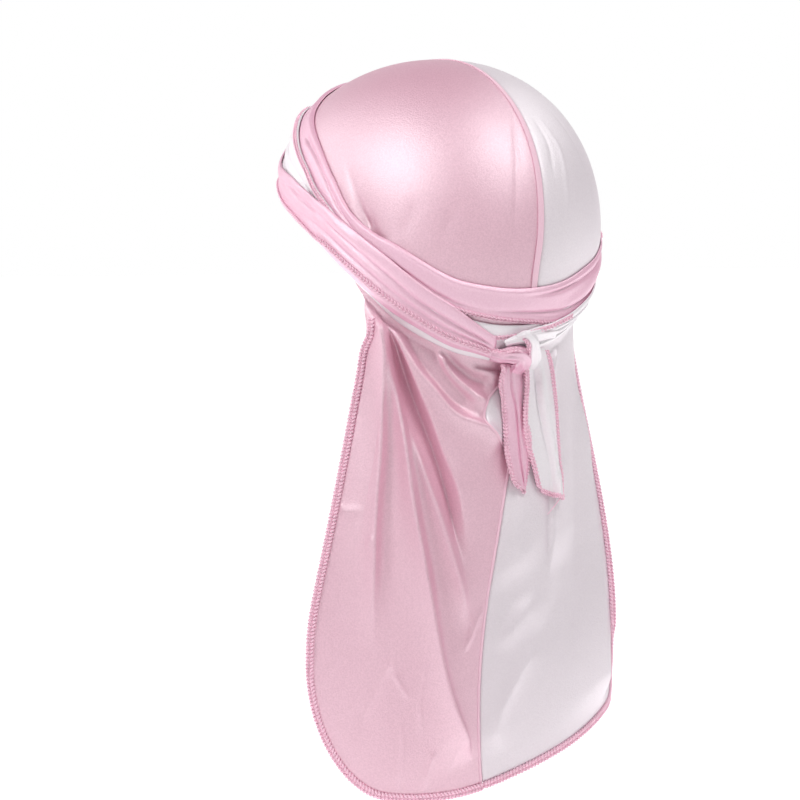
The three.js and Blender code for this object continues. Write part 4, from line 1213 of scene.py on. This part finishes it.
class Finish:
    """The nodes of a material or of the world under construction."""

    def __init__(self, owner):
        self.owner = owner
        owner.use_nodes = True
        self.tree = owner.node_tree
        self.tree.nodes.clear()

    def node(self, kind, settings=None, sockets=None, output=0):
        """Adds a node: its settings first, then values or wires for its sockets."""
        node = self.tree.nodes.new(kind)
        for setting, value in (settings or {}).items():
            setattr(node, setting, value)
        for key, value in (sockets or {}).items():
            socket = node.inputs[key]
            if isinstance(value, Wire):
                self.tree.links.new(value.socket, socket)
            elif socket.type == "RGBA":
                socket.default_value = (*value, 1)
            else:
                socket.default_value = value
        return Wire(self, node.outputs[output]) if len(node.outputs) else None

    def noise(self, place, scale, detail=2.0, roughness=0.5):
        """Cloudy noise from 0 to 1."""
        return self.node("ShaderNodeTexNoise", {}, {
            "Vector": place, "Scale": scale, "Detail": detail, "Roughness": roughness})

    def between(self, value, start, end, low=0.0, high=1.0, interpolation="LINEAR"):
        """The share of a value between start and end, as a number from low to high."""
        return self.node("ShaderNodeMapRange", {"interpolation_type": interpolation}, {
            "Value": value, "From Min": start, "From Max": end, "To Min": low, "To Max": high})

    def toward(self, place, direction):
        """How far a place lies in a direction."""
        return self.node("ShaderNodeVectorMath", {"operation": "DOT_PRODUCT"}, {
            0: place, 1: tuple(direction)}, "Value")

    def blend(self, factor, first, second):
        """A colour between two colours."""
        return self.node("ShaderNodeMix", {"data_type": "RGBA"}, {0: factor, 6: first, 7: second}, 2)

    def bumps(self, height, strength):
        """Normals of a surface that is rough by two tenths of a millimetre."""
        return self.node("ShaderNodeBump", {}, {
            "Strength": strength, "Distance": 0.0002, "Height": height})

    def shine(self, colour, roughness, others):
        """The general surface shader."""
        return self.node("ShaderNodeBsdfPrincipled", {}, {
            "Base Color": colour, "Roughness": roughness, **others})

    def finish(self, surface, kind="ShaderNodeOutputMaterial"):
        """Joins the last shader to the output and hands back the material or world."""
        self.node(kind, {}, {"Surface": surface})
        return self.owner


def new_material(name):
    return Finish(bpy.data.materials.new(name))


print("sockets can be added and multiplied, with numbers or with each other")

# %% [markdown]
# ## Satin and thread
#
# Satin shows long floats of smooth yarn: a broad soft gloss, and a colour that is paler where it faces
# the view and deeper at a slant, which in the folds also stands in as painted shade. A fine grain breaks
# the gloss up. Where the cloth hangs, its colour is darkened towards the bottom as painted shade. Thread
# is dull and fuzzier.

# %% Finishes
SILK_SHARE, SILK_ROUGHNESS = 0.38, 0.52
# Heights between which painted shade fades in over the hanging cloth, darker lower down.
LOW_SHADE_FROM, LOW_SHADE_TO = -0.14, -0.34
# Fineness of the patterns: floats across and along the cloth, grain, and cloudy patches.
FLOATS, GRAIN, PATCHES = (2600, 420, 1), 1000, 22
GRAIN_FROM, GRAIN_TO = 0.35, 0.65
FLOAT_SHARE, PATCH_SHARE, SLANT_BLEND = 0.4, 0.2, 0.35
SATIN_ROUGHNESS, SATIN_VARIES, SATIN_BUMP = 0.42, 0.12, 0.6
TWIST, THREAD_ROUGHNESS, THREAD_VARIES, THREAD_BUMP = 1800, 0.55, 0.2, 0.3


def satin(name, colour, deep, pale, slant=0.45, fleck=0.45, hung_shade=0.0):
    """Satin of one colour: floats along the cloth, grain, broad gloss, a deeper tone aslant and painted
    shade lower down.
    """
    finish = new_material(name)
    cloth = finish.node("ShaderNodeUVMap", {"uv_map": "cloth"})
    place = finish.node("ShaderNodeTexCoord", {}, {}, "Object")
    # Deeper colour where the cloth turns from the view: satin's own look at a slant, which also stands in
    # as painted shade in the folds and at the edges.
    aslant = finish.node("ShaderNodeLayerWeight", {}, {"Blend": SLANT_BLEND}, "Facing")
    stretched = finish.node("ShaderNodeMapping", {}, {"Vector": cloth, "Scale": FLOATS})
    floats = finish.noise(stretched, 1.0, 1.0)
    grain = finish.between(finish.noise(place, GRAIN, 2.0, 0.9), GRAIN_FROM, GRAIN_TO)
    patches = finish.noise(place, PATCHES, 3.0)
    height = finish.node("ShaderNodeSeparateXYZ", {}, {0: place}, 2)
    # Painted shade: the colour deepens towards the bottom of the hanging cloth.
    low = finish.between(height, LOW_SHADE_FROM, LOW_SHADE_TO, 0.0, hung_shade)
    texture = FLOAT_SHARE * floats + (1 - FLOAT_SHARE) * grain
    tone = finish.blend(PATCH_SHARE * patches + slant * aslant + low, colour, deep)
    bump = finish.bumps(texture, SATIN_BUMP)
    body = finish.shine(
        finish.blend(fleck * grain, tone, deep), SATIN_ROUGHNESS + SATIN_VARIES * texture,
        {"Normal": bump, "IOR": 1.6})
    silk = finish.shine(pale, SILK_ROUGHNESS, {"Normal": bump, "Metallic": 1.0})
    return finish.finish(finish.node("ShaderNodeMixShader", {}, {0: SILK_SHARE, 1: body, 2: silk}))


def thread(name, colour, deep):
    """Twisted polyester thread."""
    finish = new_material(name)
    grain = finish.noise(finish.node("ShaderNodeTexCoord", {}, {}, "Object"), TWIST, 2.0, 0.6)
    return finish.finish(finish.shine(
        finish.blend(grain, colour, deep), THREAD_ROUGHNESS + THREAD_VARIES * grain,
        {"Normal": finish.bumps(grain, THREAD_BUMP), "Sheen Weight": 0.2}))


# The panels take painted shade low on the tail, the white one most.
PINK = satin("pink_satin", (0.94, 0.50, 0.63), (0.54, 0.16, 0.28), (0.97, 0.89, 0.93), hung_shade=0.12)
STRAP_PINK = satin(
    "strap_satin", (0.97, 0.52, 0.68), (0.66, 0.14, 0.33), (0.98, 0.88, 0.94), fleck=0.3)
WHITE = satin(
    "white_satin", (0.93, 0.84, 0.89), (0.62, 0.51, 0.58), (0.95, 0.92, 0.94), fleck=0.3, hung_shade=0.38)
STRAP_WHITE = satin(
    "white_strap_satin", (0.98, 0.94, 0.97), (0.66, 0.54, 0.61), (0.98, 0.95, 0.97), 0.35, 0.2)
THREAD = thread("pink_thread", (0.96, 0.76, 0.84), (0.88, 0.42, 0.58))
SEAM_PINK = thread("seam_pink", (0.92, 0.64, 0.74), (0.88, 0.54, 0.66))

finishes = (PINK, STRAP_PINK, WHITE, STRAP_WHITE, THREAD, SEAM_PINK)
print("finishes:", ", ".join(finish.name for finish in finishes))

# %% [markdown]
# ## What each piece stands for
# Every dressed piece wears one finish and rides on the one body. Some replace the plain solid of the same
# part, and others, such as the rows of stitches, belong to it as well. Each sheet says
# how large the flat cloth is that it was cut from, what it lies on and what is sewn to it.

# %% Pieces, solids and sheets
# piece, solid that it replaces, slot, finish
DRESSED = [
    (left_panel, "left_panel", "pink_satin", PINK),
    (right_panel, "right_panel", "white_satin", WHITE),
    (left_strap, "left_strap", "strap_satin", STRAP_PINK),
    (right_strap, "right_strap", "white_satin", STRAP_WHITE),
    (crown_seam, "crown_seam", "pink_thread", SEAM_PINK),
    (tail_seam, "tail_seam", "pink_thread", SEAM_PINK),
    (left_hem, "left_hem", "pink_thread", THREAD),
    (right_hem, "right_hem", "pink_thread", THREAD),
    (pink_loop, "knot", "strap_satin", STRAP_PINK),
    (white_under, None, "white_satin", STRAP_WHITE),
    (white_loop, None, "white_satin", STRAP_WHITE),
    (pink_end, "left_tie_end", "strap_satin", STRAP_PINK),
    (white_end, "right_tie_end", "white_satin", STRAP_WHITE),
    (left_rows, None, "pink_thread", THREAD),
    (right_rows, None, "pink_thread", THREAD),
    (knot_rows, None, "pink_thread", THREAD),
    (pink_end_rows, None, "pink_thread", THREAD),
    (white_end_rows, None, "pink_thread", THREAD),
]
for piece, solid, slot, finish in DRESSED:
    piece.data.materials.append(finish)
    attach(piece, "root")
    if solid:
        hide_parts(solid)

print(len(DRESSED), "pieces stand for", len(SOLIDS), "solids")

# %% [markdown]
# ## The floor
#
# A pale matt floor under the durag. Beyond it, away from the camera, the floor is lit from below
# as a light table is, so that it runs into the white of the wall.

# %% Floor
FLOOR_HEIGHT, FLOOR_SIZE = -0.405, 30
GLOW_START, GLOW_FULL = -0.35, 0.05
NEAR_GLOW, FLOOR_GLOW = 0.1, 0.88
BLACK, WHITE_LIGHT = (0, 0, 0), (1, 1, 1)
CLOUDS, CLOUD_SHARE, CLOUD_TONE, FLOOR_ROUGHNESS = 3.0, 0.05, 0.9, 0.9

back = np.array([math.sin(around_back), math.cos(around_back), 0])
right = np.array([-math.cos(around_back), math.sin(around_back), 0])
up = np.array([0, 0, 1.0])
head_centre = np.array([0, 0, -HEAD_TOP_HEIGHT / 1000])


def lit_floor(name, colour):
    """The floor's finish: faintly cloudy, and brighter beyond the durag."""
    finish = new_material(name)
    place = finish.node("ShaderNodeTexCoord", {}, {}, "Object")
    cloudy = CLOUD_SHARE * finish.noise(place, CLOUDS, 2.0)
    tone = finish.blend(cloudy, colour, tuple(CLOUD_TONE * part for part in colour))
    glow = finish.between(finish.toward(place, -back), GLOW_START, GLOW_FULL, NEAR_GLOW, FLOOR_GLOW,
                          "SMOOTHSTEP")
    lit = finish.blend(glow, BLACK, WHITE_LIGHT)
    return finish.finish(finish.shine(
        tone, FLOOR_ROUGHNESS, {"Emission Color": lit, "Emission Strength": 1.0}))


bpy.ops.mesh.primitive_grid_add(
    size=FLOOR_SIZE, x_subdivisions=4, y_subdivisions=4, location=(0, 0, FLOOR_HEIGHT))
floor = bpy.context.object
floor.name = "floor"
floor.data.materials.append(lit_floor("pale_floor", (0.9, 0.9, 0.9)))
print("floor %.0f mm under the crown's top" % (-1000 * FLOOR_HEIGHT))

# %% [markdown]
# ## Light
#
# A white wall of light stands behind the durag, and the room is dimmer on the camera's side, so
# that the satin keeps its shading. Wide soft lamps behind the camera give the crown its broad
# gloss and the folds their pale crests.

# %% Wall of light and lamps
WALL_LIGHT, ROOM_LIGHT = 1.0, 0.27
WALL_NARROW, WALL_WIDE = math.cos(math.radians(18)), math.cos(math.radians(40))

studio = Finish(bpy.data.worlds.new("studio"))
direction = studio.node("ShaderNodeTexCoord", {}, {}, "Generated")
level = studio.between(studio.toward(direction, -back), WALL_WIDE, WALL_NARROW, ROOM_LIGHT, WALL_LIGHT,
                       "SMOOTHSTEP")
backdrop = studio.node("ShaderNodeBackground", {}, {"Color": studio.blend(level, BLACK, WHITE_LIGHT)})
bpy.context.scene.world = studio.finish(backdrop, "ShaderNodeOutputWorld")


def add_aimed(name, data, place, target):
    """Adds a light or camera at a place, turned to a target."""
    thing = bpy.data.objects.new(name, data)
    bpy.context.scene.collection.objects.link(thing)
    thing.location = place
    line = Vector(np.asarray(target) - np.asarray(place))
    thing.rotation_euler = line.to_track_quat("-Z", "Y").to_euler()
    return thing


# name, metres behind, to the right and above the head as the camera sees it, size, watts
LAMPS = [
    ("left", 0.6, -0.8, 0.65, (0.6, 0.5), 7.0),
    ("right", 0.65, 0.68, 0.98, (0.55, 0.5), 8.0),
    ("top", -0.35, 0.6, 0.75, (0.45, 0.45), 1.3),
    ("far left", -0.35, -0.8, 0.35, (0.5, 0.5), 1.8),
]
for name, behind, aside, above, size, power in LAMPS:
    lamp = bpy.data.lights.new(name, "AREA")
    lamp.shape = "RECTANGLE"
    lamp.size, lamp.size_y = size
    lamp.energy = power
    add_aimed(name, lamp, head_centre + back * behind + right * aside + up * above, head_centre)
print("lamps:", ", ".join(row[0] for row in LAMPS))

# %% [markdown]
# ## Camera
#
# The camera stands a metre and a half behind the wearer's left shoulder, level with the head. It
# is turned a little aside, which puts the head above and right of the picture's middle.

# %% Camera
PHOTO_WIDTH = 800
PHOTO_FOCAL = 2805
PIXELS_A_METRE = 1870
HEAD_PIXEL = (435, 230)
SENSOR_WIDTH = 36
lens = bpy.data.cameras.new("photo_camera")
lens.sensor_width = SENSOR_WIDTH
lens.lens = SENSOR_WIDTH * PHOTO_FOCAL / PHOTO_WIDTH
target = (head_centre + right * (PHOTO_WIDTH / 2 - HEAD_PIXEL[0]) / PIXELS_A_METRE
          + up * (HEAD_PIXEL[1] - PHOTO_WIDTH / 2) / PIXELS_A_METRE)
camera = add_aimed("photo_camera", lens, head_centre + back * PHOTO_DISTANCE / 1000, target)
bpy.context.scene.camera = camera
bpy.context.scene.view_settings.view_transform = "Standard"
print("lens: %.0f mm" % lens.lens)
